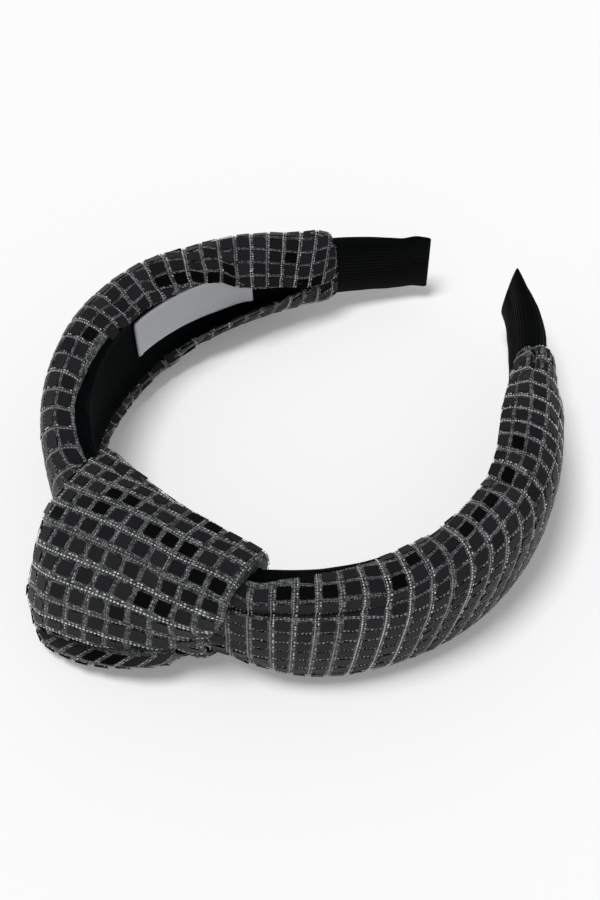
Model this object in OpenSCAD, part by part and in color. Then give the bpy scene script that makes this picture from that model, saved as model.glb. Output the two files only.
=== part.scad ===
// Padded headband with a wide knot at its crown, lying flat on its lower edge.
// The hoop is drawn along its inner face: x runs across the head, y from the
// crown to the tips, z is up. The knot is at -y and the tips are at +y.

/* [Hoop] */
// Radius of the inner face round the head
head_radius = 60; // [57:0.5:64]
// Length of that curve on each side of the crown's middle
head_run = 118; // [106:1:124]
// Radius of the inner face towards the fabric's end
end_radius = 290; // [200:10:400]
// Radius of the bare tips
tip_radius = 60; // [50:2:100]
// Lean of the band's section at the crown, top edge inwards
crown_lean = 2.7; // [0:0.1:5]
// Lean of the band's section at the tips, top edge outwards
tip_lean = 10; // [6:0.5:12]
// Height by which the right end is twisted up
right_lift = 6; // [0:0.5:8]

/* [Arms] */
// Length of padded fabric from the crown's middle to its end
arm_length = 163; // [156:1:170]
// Width of the band where it is widest
band_width = 43.5; // [41:0.5:47]
// Depth of the padding where it is fullest
pad_depth = 20; // [17:0.5:23]
// Depth of the channel that the lining lies in
channel_depth = 5; // [4.2:0.1:5.4]

/* [Lining] */
// Width of the lining round the head
lining_width = 28; // [25:0.5:30]
// Thickness of the lining
lining_wall = 1.2; // [1:0.1:1.6]

/* [Label] */
// Length of the label along the lining
label_length = 41; // [34:1:45]
// Width of the label
label_width = 16; // [12:0.5:18]
// Thickness of the label
label_wall = 0.5; // [0.4:0.1:0.8]
// Distance from the crown's middle to the label's near end
label_start = 91; // [86:1:95]

/* [Tips] */
// Length of each tip past the fabric
tip_length = 30; // [26:1:34]
// Width of a tip
tip_width = 20; // [18:0.5:22]
// Depth of a tip's ribbon where it leaves the fabric
tip_depth = 9; // [7:0.2:9.6]
// Length of each tip's tongue inside the fabric
tip_reach = 10; // [7:1:13]
// Thickness of the tongue
tongue_wall = 3; // [2.4:0.1:3.4]

/* [Knot] */
// Distance from the crown's middle to the knot's left end
knot_left = 34; // [32:0.5:36]
// Distance from the crown's middle to the knot's right end
knot_right = 27; // [25:0.5:29]
// Greatest reach of the knot from the middle of the band's section
knot_size = 32; // [30:0.5:34]
// Least thickness of the knot over the band
knot_wall = 2; // [1.6:0.1:2.4]
// Slant of the knot's ends, to the right at the top
knot_slant = 4; // [2:0.5:6]

/* [Fit] */
// Gap between neighbouring pieces
clearance = 0.3; // [0.25:0.05:0.4]
// Depth by which the soft edges are pressed flat where they rest
press = 0.8; // [0.5:0.1:1.2]

/* [Hidden] */

// Sections of an arm, a row for each place from the crown to the fabric's end:
// [place, width, depth, channel] as shares of arm_length, band_width, pad_depth, lining_width
arm_rows = [
    [0.00, 0.80, 0.58, 1.00],
    [0.15, 0.82, 0.62, 1.00],
    [0.22, 0.92, 0.72, 1.00],
    [0.30, 0.99, 0.80, 1.00],
    [0.42, 1.00, 0.87, 1.00],
    [0.52, 0.99, 0.95, 1.00],
    [0.65, 0.96, 0.98, 0.97],
    [0.76, 0.88, 0.95, 0.90],
    [0.87, 0.77, 0.82, 0.60],
    [0.95, 0.67, 0.66, 0.26],
    [1.00, 0.64, 0.58, 0.11]
];

// Folds and puckers of an arm's fabric, a row each:
// [place, turn, length, spread, depth, slant]: place and length as shares of arm_length,
// turn and spread in degrees round the section from its outer middle (90 is the top edge),
// depth as a share of pad_depth and slant in degrees per arm_length
right_folds = [
    [0.22, 44, 0.13, 9, 0.10, -10],
    [0.15, 20, 0.035, 10, 0.09, 0],
    [0.15, -14, 0.035, 10, 0.07, 0],
    [0.15, -48, 0.035, 12, 0.08, 0],
    [0.66, 118, 0.025, 34, 0.16, 0],
    [0.72, 120, 0.022, 30, 0.10, 0],
    [0.50, 128, 0.02, 24, 0.08, 0],
    [0.97, 106, 0.06, 10, 0.15, 0],
    [0.95, 30, 0.04, 14, 0.06, 0],
    [0.94, -45, 0.04, 14, 0.06, 0]
];
left_folds = [
    [0.55, 126, 0.022, 34, 0.15, 0],
    [0.63, 118, 0.020, 30, 0.13, 0],
    [0.72, 96, 0.020, 26, 0.12, 0],
    [0.78, 104, 0.016, 26, 0.08, 0],
    [0.36, 128, 0.020, 24, 0.07, 0],
    [0.94, 58, 0.045, 12, 0.07, 40],
    [0.95, 5, 0.04, 14, 0.06, 0],
    [0.94, -48, 0.04, 14, 0.06, 0]
];

// Turns round the knot's section from its front (90 is its top, 180 its back)
crest = 114;
face = 52;
front = 0;
lip = -27;
under = -32;
foot = -90;
// Sections of the knot, a row for each place from its left to its right end:
// [place, back, crest, top, face, front, lip, under, foot]: place as a share of the knot's
// length, the others as shares of knot_size from the middle of the band's section
knot_rows = [
    [0.00, 0.30, 0.64, 0.68, 0.56, 0.44, 0.60, 0.46, 0.66],
    [0.05, 0.32, 0.74, 0.76, 0.71, 0.63, 0.83, 0.56, 0.66],
    [0.14, 0.30, 0.80, 0.80, 0.78, 0.80, 1.01, 0.72, 0.66],
    [0.30, 0.30, 0.87, 0.83, 0.74, 0.88, 1.03, 0.74, 0.66],
    [0.52, 0.30, 0.89, 0.85, 0.62, 0.66, 0.84, 0.60, 0.66],
    [0.73, 0.30, 0.87, 0.84, 0.54, 0.48, 0.63, 0.48, 0.66],
    [0.95, 0.28, 0.77, 0.77, 0.50, 0.35, 0.42, 0.38, 0.66],
    [1.00, 0.26, 0.69, 0.71, 0.46, 0.29, 0.34, 0.34, 0.64]
];

// Sections of the folded layer under the knot, a row for each place along it:
// [place, edge, corner, middle, lower], the last four as shares of knot_size
tuck_rows = [
    [0.00, 0.68, 0.80, 0.62, 0.64],
    [0.05, 0.84, 0.98, 0.72, 0.68],
    [0.12, 0.98, 1.10, 0.78, 0.70],
    [0.30, 1.04, 1.17, 0.81, 0.71],
    [0.52, 0.90, 1.02, 0.80, 0.71],
    [0.74, 0.72, 0.80, 0.76, 0.70],
    [0.90, 0.52, 0.60, 0.70, 0.69]
];
// Turns round the knot's section of the layer's edge, corner, middle and lower end
tuck_turns = [-33, -38, -60, -108];

// Sections of a tip, a row for each place from the fabric to its end:
// [place, width, depth] as shares of tip_length, tip_width and tip_depth
tip_rows = [
    [0.00, 1.05, 1.00],
    [0.25, 1.02, 0.98],
    [0.55, 0.98, 0.80],
    [0.80, 0.92, 0.50],
    [1.00, 0.90, 0.24]
];

// Stations along an arm, round its outside and across its channel
arm_steps = 45;
round_steps = 24;
floor_steps = 5;
// Stations along the knot, and turns round its loops, closest at its lip and crest
knot_steps = 20;
loop_turns = [
    -180, -160, -142, -124, -108, -96, -84, -72, -60, -49, -40, -32, -27, -20, -10, 2, 14,
    28, 40, 52, 64, 76, 86, 96, 105, 114, 124, 138, 158
];

// Reading a table: the value in a column at a place, eased between the rows
function column(rows, at, col) = lookup(at, [for (row = rows) [row[0], row[col]]]);
function eased(rows, at, col, reach = 0.03) =
    (column(rows, at - reach, col) + 2 * column(rows, at, col) + column(rows, at + reach, col)) / 4;

// The hoop's inner face: heading in degrees and place in the plane at length s
function arc_turn(s, start, run, radius) = max(0, min(s - start, run)) / radius * 180 / PI;
function heading(s) =
    arc_turn(s, 0, head_run, head_radius)
    + arc_turn(s, head_run, arm_length - head_run, end_radius)
    + arc_turn(s, arm_length, 2 * tip_length, tip_radius);
function arc_step(radius, from, to) = radius * [sin(to) - sin(from), cos(from) - cos(to)];
function on_hoop(s) =
    let (h1 = heading(min(s, head_run)), h2 = heading(min(s, arm_length)), h3 = heading(s))
    arc_step(head_radius, 0, h1)
    + (s > head_run ? arc_step(end_radius, h1, h2) : [0, 0])
    + (s > arm_length ? arc_step(tip_radius, h2, h3) : [0, 0]);

// A point of the hoop at length s, r outwards from the inner face and z up its section
function lean(s) = -crown_lean + (crown_lean + tip_lean) * s / (arm_length + tip_length);
function placed(side, s, r, z) =
    let (
        h = heading(s),
        c = on_hoop(s),
        out = r * cos(lean(s)) + z * sin(lean(s)),
        lift = side > 0 ? right_lift * pow(s / (arm_length + tip_length), 2) : 0
    )
    [
        side * (c[0] + out * sin(h)),
        c[1] - out * cos(h),
        z * cos(lean(s)) - r * sin(lean(s)) + lift
    ];

// The band's section at length s
function width_at(s) = band_width * eased(arm_rows, s / arm_length, 1);
function depth_at(s) = pad_depth * eased(arm_rows, s / arm_length, 2);
function channel_at(s) = lining_width * eased(arm_rows, s / arm_length, 3) + 2 * clearance;
// The channel rises over a short run, which stops before the pocket that holds a tip
rise_run = 20;
pocket_cover = 4;
rise_end = arm_length - tip_reach - pocket_cover;
function floor_at(s) =
    let (least = lining_wall + 2 * clearance)
    least + (channel_depth - least) * lookup(s, [[rise_end - rise_run, 1], [rise_end, 0]]);

function fold_depth(folds, s, turn) =
    len(folds) == 0 ? 0 :
    let (
        along = [for (f = folds) (s / arm_length - f[0]) / f[2]],
        around = [for (f = folds) (turn - f[1] - f[5] * (s / arm_length - f[0])) / f[3]]
    )
    [for (i = [0 : len(folds) - 1]) pad_depth * folds[i][4] * exp(-pow(along[i], 2) - pow(around[i], 2))]
    * [for (f = folds) 1];

// Outer row of a section from its lower lip round the outside to its upper lip.
// The padding's rim rolls over at rim_share of its depth, and its lips lie at lip_share of the
// way from the channel's edge to the rim.
rim_share = 0.48;
lip_share = 0.22;
bow_power = 0.84;
function rim(depth) = rim_share * depth;
function bow(value) = sign(value) * pow(abs(value), bow_power);
function outer_point(turn, width, depth, channel, grow = 0) =
    let (
        rim_r = rim(depth),
        half = width / 2,
        lip = channel / 2 + lip_share * (half - channel / 2),
        past = abs(turn) - 90
    )
    past <= 0
        ? [rim_r + (depth - rim_r + grow) * bow(cos(turn)), (half + grow) * bow(sin(turn))]
        : [rim_r - (rim_r + grow) * sin(past), sign(turn) * (lip + (half + grow - lip) * cos(past))];
function outer_row(width, depth, channel, grow = 0) =
    [for (j = [0 : round_steps]) outer_point(-180 + 360 * j / round_steps, width, depth, channel, grow)];
function dented(point, turn, folds, s, depth) =
    let (away = point - [depth / 2, 0], size = norm(away))
    point - away / size * min(fold_depth(folds, s, turn), size / 2);

// Channel row of a section, from its lower edge to its upper edge, turned up at both to
// edge_turn of its depth
edge_turn = 0.55;
function floor_row(channel, floor_r) =
    [
        for (j = [0 : floor_steps])
            let (edge = j == 0 || j == floor_steps)
            [edge ? edge_turn * floor_r : floor_r, channel * (j / floor_steps - 0.5)]
    ];

// One closed ring of an arm at length s. The fabric rounds in over its last hem_run, and its
// channel takes up to channel_share of its width.
hem_run = 3;
hem_share = 0.10;
channel_share = 0.8;
function arm_ring(side, s, folds) =
    let (
        end = max(0, (s - arm_length + hem_run) / hem_run),
        tuck_in = 1 - hem_share * end * end,
        width = width_at(s) * tuck_in,
        depth = depth_at(s) * tuck_in,
        channel = min(channel_at(s), channel_share * width),
        outer = outer_row(width, depth, channel),
        inner = floor_row(channel, floor_at(s))
    )
    [
        for (j = [0 : round_steps])
            let (p = dented(outer[j], -180 + 360 * j / round_steps, folds, s, depth))
            placed(side, s, p[0], p[1]),
        for (j = [floor_steps : -1 : 0]) placed(side, s, inner[j][0], inner[j][1])
    ];

// A flat ring with round edges at length s, its middle on the padding's middle there
tongue_width = 0.8 * tip_width;
tip_middle = 0.23 * pad_depth;
edge_power = 3;
function flat_edge(t) = sqrt(1 - pow(abs(t), edge_power));
function flat_ring(side, s, wide, deep, outer_steps) =
    [
        for (j = [0 : outer_steps])
            let (t = 2 * j / outer_steps - 1)
            placed(side, s, tip_middle + deep / 2 * flat_edge(t), wide / 2 * t),
        for (j = [floor_steps : -1 : 0])
            let (t = (2 * j + 1) / (floor_steps + 1) - 1)
            placed(side, s, tip_middle - deep / 2 * flat_edge(t), wide / 2 * t)
    ];

// The pocket at the fabric's end that the tip's tongue reaches into
function pocket_ring(side, s) =
    flat_ring(side, s, tongue_width + 2 * clearance, tongue_wall + 2 * clearance, round_steps);

arm_start = clearance / 2;
arm_places = [for (i = [0 : arm_steps]) arm_start + (arm_length - arm_start) * i / arm_steps];
function arm_rings(side, folds) =
    [
        for (s = arm_places) arm_ring(side, s, folds),
        pocket_ring(side, arm_length),
        pocket_ring(side, arm_length - tip_reach - clearance)
    ];

// Skins: rings of equal count joined by triangles
function tube_faces(count, rings, closed = false) =
    [
        for (i = [0 : rings - (closed ? 1 : 2)], j = [0 : count - 1])
            let (
                next = (i + 1) % rings,
                a = i * count + j,
                b = i * count + (j + 1) % count,
                c = next * count + (j + 1) % count,
                d = next * count + j
            )
            each [[a, b, c], [a, c, d]]
    ];
// A cap between an outer row and a shorter row facing it
function cap_faces(first, outer_steps, inner_steps) =
    let (
        last = first + outer_steps + 1 + inner_steps,
        across = [for (j = [0 : outer_steps]) last - round(j * inner_steps / outer_steps)]
    )
    [
        for (j = [0 : outer_steps - 1])
            each concat(
                [[first + j, across[j], first + j + 1]],
                across[j] != across[j + 1] ? [[first + j + 1, across[j], across[j + 1]]] : []
            )
    ];
function flipped(faces) = [for (f = faces) [f[2], f[1], f[0]]];

module skin(points, faces, mirror_side) {
    polyhedron(points = points, faces = mirror_side ? flipped(faces) : faces, convexity = 6);
}
module capped_tube(rings, outer_steps, inner_steps, side) {
    count = len(rings[0]);
    faces = concat(
        tube_faces(count, len(rings)),
        cap_faces(0, outer_steps, inner_steps),
        flipped(cap_faces((len(rings) - 1) * count, outer_steps, inner_steps))
    );
    skin([for (ring = rings) each ring], faces, side < 0);
}

// The knot: a padded loop round both arms, straight along x
function knot_x(share, turn) = -knot_left + (knot_left + knot_right) * share + knot_slant * sin(turn);
function band_y(x, r) = head_radius - sqrt(pow(head_radius + r, 2) - x * x);
crown_depth = pad_depth * arm_rows[0][2];
function band_middle(x) = (band_y(x, 0) + band_y(x, crown_depth)) / 2;
function length_at(x) = head_radius * asin(abs(x) / (head_radius + crown_depth / 2)) * PI / 180;
function oval(turn, a, b, power) =
    pow(pow(abs(cos(turn)) / a, power) + pow(abs(sin(turn)) / b, power), -1 / power);
// The hole round the arms, boxy behind and rounder in front, hole_ease clear of them
hole_ease = 0.9;
hole_behind = 7;
hole_front = 3;
function hole_size(x, turn) =
    let (
        s = length_at(x),
        gap = clearance + hole_ease,
        behind = abs(turn) > 90,
        reach = behind ? band_y(x, 0) - band_middle(x) : band_middle(x) - band_y(x, depth_at(s))
    )
    oval(turn, reach + gap, width_at(s) / 2 + gap, behind ? hole_behind : hole_front);
// Behind the arms it draws in from its crest and its foot
heel = -130;
nape = 140;
nape_share = 0.45;
function knot_size_at(x, share, turn) =
    let (
        row = [for (c = [1 : 8]) eased(knot_rows, share, c)],
        by_turn = [
            [-180, row[0]], [heel, (row[0] + row[7]) / 2], [foot, row[7]], [under, row[6]],
            [lip, row[5]], [front, row[4]], [face, row[3]], [90, row[2]], [crest, row[1]],
            [nape, nape_share * (row[0] + row[1])], [180, row[0]]
        ]
    )
    max(knot_size * lookup(turn, by_turn), hole_size(x, turn) + knot_wall);
function loop_point(x, turn, size) = [x, band_middle(x) - size * cos(turn), size * sin(turn)];
function hole_ring(share) =
    [for (turn = loop_turns) let (x = knot_x(share, turn)) loop_point(x, turn, hole_size(x, turn))];
function knot_ring(share) =
    [
        for (turn = loop_turns)
            let (x = knot_x(share, turn))
            loop_point(x, turn, knot_size_at(x, share, turn))
    ];
knot_places = [for (i = [0 : knot_steps]) i / knot_steps];
knot_rings = [
    for (share = knot_places) knot_ring(share),
    for (i = [knot_steps : -1 : 0]) hole_ring(knot_places[i])
];

// The folded layer under the knot's lip, a padded strip that hugs it from below.
// It has the knot's own stations and turns, so the gap between them is even.
tuck_wall = 1;
tuck_ease = 0.6;
tuck_gap = tuck_ease + clearance;
tuck_hug = [for (turn = loop_turns) if (turn >= tuck_turns[3] && turn <= tuck_turns[0]) turn];
tuck_face = [-108, -92, -76, -60, -50, -43, -38, -35, -33];
function tuck_size(share, turn) =
    knot_size * lookup(-turn, [for (c = [0 : 3]) [-tuck_turns[c], eased(tuck_rows, share, c + 1)]]);
function tuck_ring(share) =
    [
        for (turn = tuck_face)
            let (x = knot_x(share, turn), least = knot_size_at(x, share, turn) + tuck_gap + tuck_wall)
            loop_point(x, turn, turn == tuck_turns[3] ? least : max(least, tuck_size(share, turn))),
        for (j = [len(tuck_hug) - 1 : -1 : 0])
            let (turn = tuck_hug[j], x = knot_x(share, turn))
            loop_point(x, turn, knot_size_at(x, share, turn) + tuck_gap)
    ];
tuck_rings = [
    for (share = knot_places)
        if (share > 0 && share <= tuck_rows[len(tuck_rows) - 1][0]) tuck_ring(share)
];

// The lining, one strip through the crown from end to end of the fabric
function lining_width_at(s) = channel_at(s) - 2 * clearance;
function lining_ring(along) =
    let (
        side = along < 0 ? -1 : 1,
        s = abs(along),
        row = floor_row(lining_width_at(s), floor_at(s) - clearance)
    )
    [
        for (p = row) placed(side, s, p[0], p[1]),
        for (j = [floor_steps : -1 : 0]) placed(side, s, row[j][0] - lining_wall, row[j][1])
    ];
lining_places = [for (i = [2 : 2 : arm_steps - 1]) arm_places[i]];
lining_rings = [
    for (i = [len(lining_places) - 1 : -1 : 0]) lining_ring(-lining_places[i]),
    lining_ring(0),
    for (s = lining_places) lining_ring(s)
];

// The label, stitched flat on the lining of the left arm near its upper edge
label_steps = 14;
label_inset = 2.8;
label_top = lining_width / 2 - label_inset;
function lining_bend(s) = lining_width_at(s) * (0.5 - 1 / floor_steps);
function lining_face(s, z) =
    let (deep = floor_at(s) - clearance)
    lookup(abs(z), [[lining_bend(s), deep], [lining_width_at(s) / 2, edge_turn * deep]]) - lining_wall;
function label_ring(s) =
    let (
        low = label_top - label_width,
        bend = lining_bend(s),
        heights = [low, (low + bend) / 2, bend, label_top]
    )
    [
        for (z = heights) placed(-1, s, lining_face(s, z) - clearance, z),
        for (j = [3 : -1 : 0])
            placed(-1, s, lining_face(s, heights[j]) - clearance - label_wall, heights[j])
    ];
label_rings = [for (i = [label_steps : -1 : 0]) label_ring(label_start + label_length * i / label_steps)];

// A tip: a thin tongue inside the fabric, and outside it a full ribbon that
// flattens towards its straight end
tip_steps = 12;
tip_round = 10;
function tip_ring(side, share) =
    flat_ring(
        side, arm_length + clearance + (tip_length - clearance) * share,
        tip_width * eased(tip_rows, share, 1), tip_depth * eased(tip_rows, share, 2), tip_round
    );
function tip_rings(side) =
    [
        flat_ring(side, arm_length - tip_reach, tongue_width, tongue_wall, tip_round),
        flat_ring(side, arm_length + clearance, tongue_width, tongue_wall, tip_round),
        for (i = [0 : tip_steps]) tip_ring(side, i / tip_steps)
    ];

// Laying the hoop on its lower edge: the plane through the knot's lowest point and
// the lowest point of each arm past the share of its length that the knot may cover
knot_cover = 0.4;
left_rings = arm_rings(-1, left_folds);
right_rings = arm_rings(1, right_folds);
function lowest(points) = let (z = min([for (p = points) p[2]])) [for (p = points) if (p[2] == z) p][0];
knot_foot = lowest([for (ring = concat(knot_rings, tuck_rings)) lowest(ring)]);
free_steps = round(arm_steps * knot_cover);
function arm_foot(rings) =
    let (
        feet = [for (i = [free_steps : arm_steps - 1]) lowest(rings[i])],
        slopes = [for (p = feet) (p[2] - knot_foot[2]) / (p[1] - knot_foot[1])],
        least = min(slopes)
    )
    [for (i = [0 : len(feet) - 1]) if (slopes[i] == least) feet[i]][0];
up_raw = cross(arm_foot(right_rings) - knot_foot, arm_foot(left_rings) - knot_foot);
up_axis = up_raw / norm(up_raw);
right_raw = [1, 0, 0] - up_axis[0] * up_axis;
right_axis = right_raw / norm(right_raw);
fore_axis = cross(up_axis, right_axis);
function turned(p) = [p * right_axis, p * fore_axis, p * up_axis];
all_turned = [
    for (rings = [left_rings, right_rings, knot_rings, tuck_rings, tip_rings(-1), tip_rings(1)])
        for (ring = rings) for (p = ring) turned(p)
];
function span(axis) = let (v = [for (p = all_turned) p[axis]]) [min(v), max(v)];
laid_x = (span(0)[0] + span(0)[1]) / 2;
laid_y = (span(1)[0] + span(1)[1]) / 2;
laid_z = span(2)[0] + press;
function laid(p) = let (q = turned(p)) [q[0] - laid_x, q[1] - laid_y, max(0, q[2] - laid_z)];
function laid_all(rings) = [for (ring = rings) [for (p = ring) laid(p)]];

cloth = [0.16, 0.15, 0.17];
ribbon = [0.05, 0.05, 0.06];
module left_arm() {
    color(cloth) capped_tube(laid_all(left_rings), round_steps, floor_steps, -1);
}
module right_arm() {
    color(cloth) capped_tube(laid_all(right_rings), round_steps, floor_steps, 1);
}
module knot_wrap() {
    rings = laid_all(knot_rings);
    color(cloth) skin([for (ring = rings) each ring], tube_faces(len(loop_turns), len(rings), true), false);
}
module knot_tuck() {
    color(cloth) capped_tube(laid_all(tuck_rings), len(tuck_face) - 1, len(tuck_hug) - 1, 1);
}
module lining() {
    color([0.03, 0.05, 0.06]) capped_tube(laid_all(lining_rings), floor_steps, floor_steps, 1);
}
module label() {
    color([0.6, 0.6, 0.62]) capped_tube(laid_all(label_rings), 3, 3, 1);
}
module tip(side) {
    color(ribbon) capped_tube(laid_all(tip_rings(side)), tip_round, floor_steps, side);
}
module left_tip() {
    tip(-1);
}
module right_tip() {
    tip(1);
}

left_arm();
right_arm();
knot_wrap();
knot_tuck();
lining();
label();
left_tip();
right_tip();
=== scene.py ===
"""A padded headband in dark squared cloth with silver thread, and a wide knot at its crown.

The hoop is worked out as the part's source does it: lengths run along its inner face, in
millimetres, and every piece is laid in the frame's metres at the end. A section's turn is in
degrees from its outer middle, and its girth is the distance round it from there.
"""

import logging
import math
from collections.abc import Callable
from dataclasses import dataclass, field, replace
from enum import Enum

import bmesh
import bpy
import numpy as np
from mathutils import Matrix, Vector

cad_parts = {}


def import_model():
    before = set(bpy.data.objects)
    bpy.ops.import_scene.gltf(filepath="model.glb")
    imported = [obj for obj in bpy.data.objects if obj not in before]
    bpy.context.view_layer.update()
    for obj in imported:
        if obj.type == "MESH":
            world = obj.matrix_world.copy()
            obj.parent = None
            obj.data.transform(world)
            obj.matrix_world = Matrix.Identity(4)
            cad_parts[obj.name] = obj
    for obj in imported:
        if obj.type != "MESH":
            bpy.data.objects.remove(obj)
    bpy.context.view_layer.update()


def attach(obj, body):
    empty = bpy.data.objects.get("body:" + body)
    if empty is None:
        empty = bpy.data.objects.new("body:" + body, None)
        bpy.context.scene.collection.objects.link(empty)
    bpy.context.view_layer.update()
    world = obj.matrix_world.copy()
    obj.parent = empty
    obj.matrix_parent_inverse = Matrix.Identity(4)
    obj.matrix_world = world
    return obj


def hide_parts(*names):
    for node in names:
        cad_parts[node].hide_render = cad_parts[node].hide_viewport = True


log = logging.getLogger("headband")
MM = 0.001
WELD = 0.02 * MM
EASE = 0.03
Array = np.ndarray
Material = bpy.types.Material
Piece = bpy.types.Object
Socket = bpy.types.NodeSocket
Tree = bpy.types.NodeTree
Squares = tuple[tuple[int, int], ...]


class Side(Enum):
    """The two arms of the hoop, by the sign of their x."""

    LEFT = -1
    RIGHT = 1


def cosd(degrees: Array) -> Array:
    """Cosine of an angle in degrees."""
    return np.cos(np.radians(degrees))


def sind(degrees: Array) -> Array:
    """Sine of an angle in degrees."""
    return np.sin(np.radians(degrees))


def read(table: Array, at: Array, col: int = 1) -> Array:
    """Reads a table's column at places of its first column."""
    return np.interp(at, table[:, 0], table[:, col])


def eased(table: Array, at: Array, col: int) -> Array:
    """Reads a table's column at places of its first column, eased between its rows."""
    low, mid, high = (read(table, at + d, col) for d in (-EASE, 0, EASE))
    return (low + 2 * mid + high) / 4


def bell(*places: Array) -> Array:
    """A swelling of height one that fades out over a unit's distance."""
    return np.exp(-sum(place**2 for place in places))


def rounded(near: Array, least: float) -> Array:
    """The share of its thickness that a layer has near its rounded edge."""
    return np.sqrt(1 - (1 - np.clip(near, least, 1)) ** 2)


def coords(*parts: Array) -> Array:
    """Joins coordinates, broadcast against each other, to points."""
    return np.stack(np.broadcast_arrays(*parts), -1)


def sizes(vectors: Array) -> Array:
    """The vectors' lengths in a last axis of one, never quite zero."""
    return np.linalg.norm(vectors, axis=-1, keepdims=True) + 1e-9


def girths(rings: Array) -> Array:
    """The distance run along each ring up to each of its points."""
    steps = np.linalg.norm(np.diff(rings, axis=1), axis=-1)
    return np.pad(np.cumsum(steps, 1), ((0, 0), (1, 0)))


def resampled(rings: Array, girth: Array, at: Array) -> Array:
    """Reads rings of points at other girths.

    Args:
        rings: rings by points by coordinates.
        girth: the girth of each point.
        at: the new girths, one row for all rings or one for each.

    Returns:
        The rings with their new points.
    """
    rows = zip(np.broadcast_to(at, (len(rings), at.shape[-1])), girth, rings)
    parts = [[np.interp(row, run, part) for part in ring.T] for row, run, ring in rows]
    return np.array(parts).swapaxes(1, 2)


def blended(items: Array, at: Array) -> Array:
    """Reads a stack of arrays at places between its items."""
    low = np.clip(at.astype(int), 0, len(items) - 2)
    share = (at - low).reshape(-1, *[1] * (items.ndim - 1))
    return items[low] * (1 - share) + items[low + 1] * share


def softened(rings: Array, rounds: int) -> Array:
    """Evens out the rings' points, but for the first and the last."""
    for _ in range(rounds):
        rings[:, 1:-1] = (rings[:, :-2] + 2 * rings[:, 1:-1] + rings[:, 2:]) / 4
    return rings


def closed(front: Array, back: Array) -> Array:
    """Joins the two faces of a layer to closed rings."""
    return np.concatenate([front, back[:, ::-1], front[:, :1]], 1)


def by_turn(turn: Array, turns: Array, values: list[Array]) -> Array:
    """Reads values that are given at a few turns, straight in between."""
    result = np.zeros(turn.shape)
    for a, b, low, high in zip(turns, turns[1:], values, values[1:]):
        t = (turn - a) / (b - a)
        result = np.where((t >= 0) & (t <= 1), low * (1 - t) + high * t, result)
    return result


@dataclass(frozen=True)
class Hoop:
    """The line of the hoop's inner face and the way it lies on its lower edge, in mm."""

    head_radius: float = 60.0
    head_run: float = 118.0
    end_radius: float = 290.0
    tip_radius: float = 60.0
    crown_lean: float = 2.7
    tip_lean: float = 10.0
    right_lift: float = 6.0
    arm_length: float = 163.0
    tip_length: float = 30.0
    press: float = 0.8

    def path(self, s: Array) -> tuple[Array, Array]:
        """The inner face's direction in radians, and its point, at length s."""
        heading, point = 0 * s, 0
        for start, run, radius in (
            (0, self.head_run, self.head_radius),
            (self.head_run, self.arm_length - self.head_run, self.end_radius),
            (self.arm_length, 2 * self.tip_length, self.tip_radius),
        ):
            before, heading = heading, heading + np.clip(s - start, 0, run) / radius
            step = coords(np.sin(heading) - np.sin(before), np.cos(before) - np.cos(heading))
            point = point + radius * step
        return heading, point

    def placed(self, side: Side, s: Array, r: Array, z: Array) -> Array:
        """Places points of the band's section, before the hoop is laid down.

        Args:
            side: the arm.
            s: length along the inner face from the crown.
            r: distance outwards from the inner face.
            z: height up the section.

        Returns:
            The points.
        """
        s, r, z = np.broadcast_arrays(*(np.asarray(v, float) for v in (s, r, z)))
        share = s / (self.arm_length + self.tip_length)
        lean = np.radians(-self.crown_lean + (self.crown_lean + self.tip_lean) * share)
        turn, at = self.path(s)
        out = r * np.cos(lean) + z * np.sin(lean)
        lift = self.right_lift * share**2 if side is Side.RIGHT else 0
        return coords(
            side.value * (at[..., 0] + out * np.sin(turn)),
            at[..., 1] - out * np.cos(turn),
            z * np.cos(lean) - r * np.sin(lean) + lift,
        )


@dataclass(frozen=True)
class Laying:
    """How the hoop lies on its knot and its two arms: three axes and an offset, in mm."""

    axes: Array
    offset: Array

    @classmethod
    def on(cls, knot: Array, arms: list[Array], everything: Array, press: float) -> "Laying":
        """Finds the plane through the knot's lowest point and each arm's touching point.

        Args:
            knot: points of the knot.
            arms: for each arm, right one first, the lowest point at each free station.
            everything: points of the whole hoop.
            press: depth by which the soft edges are pressed flat.

        Returns:
            The laying.
        """
        foot = knot[knot[:, 2].argmin()]
        feet = [lows[((lows[:, 2] - foot[2]) / (lows[:, 1] - foot[1])).argmin()] for lows in arms]
        up = np.cross(feet[0] - foot, feet[1] - foot)
        up /= np.linalg.norm(up)
        right = np.array([1.0, 0, 0]) - up[0] * up
        right /= np.linalg.norm(right)
        axes = np.array([right, np.cross(up, right), up])
        span = everything @ axes.T
        low, high = span.min(0), span.max(0)
        return cls(axes, np.array([*(low + high)[:2] / 2, low[2] + press]))

    def __call__(self, points: Array) -> Array:
        """Lays points down and presses flat what would be under the surface."""
        laid = points @ self.axes.T - self.offset
        laid[..., 2] = np.maximum(laid[..., 2], 0)
        return laid


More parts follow.
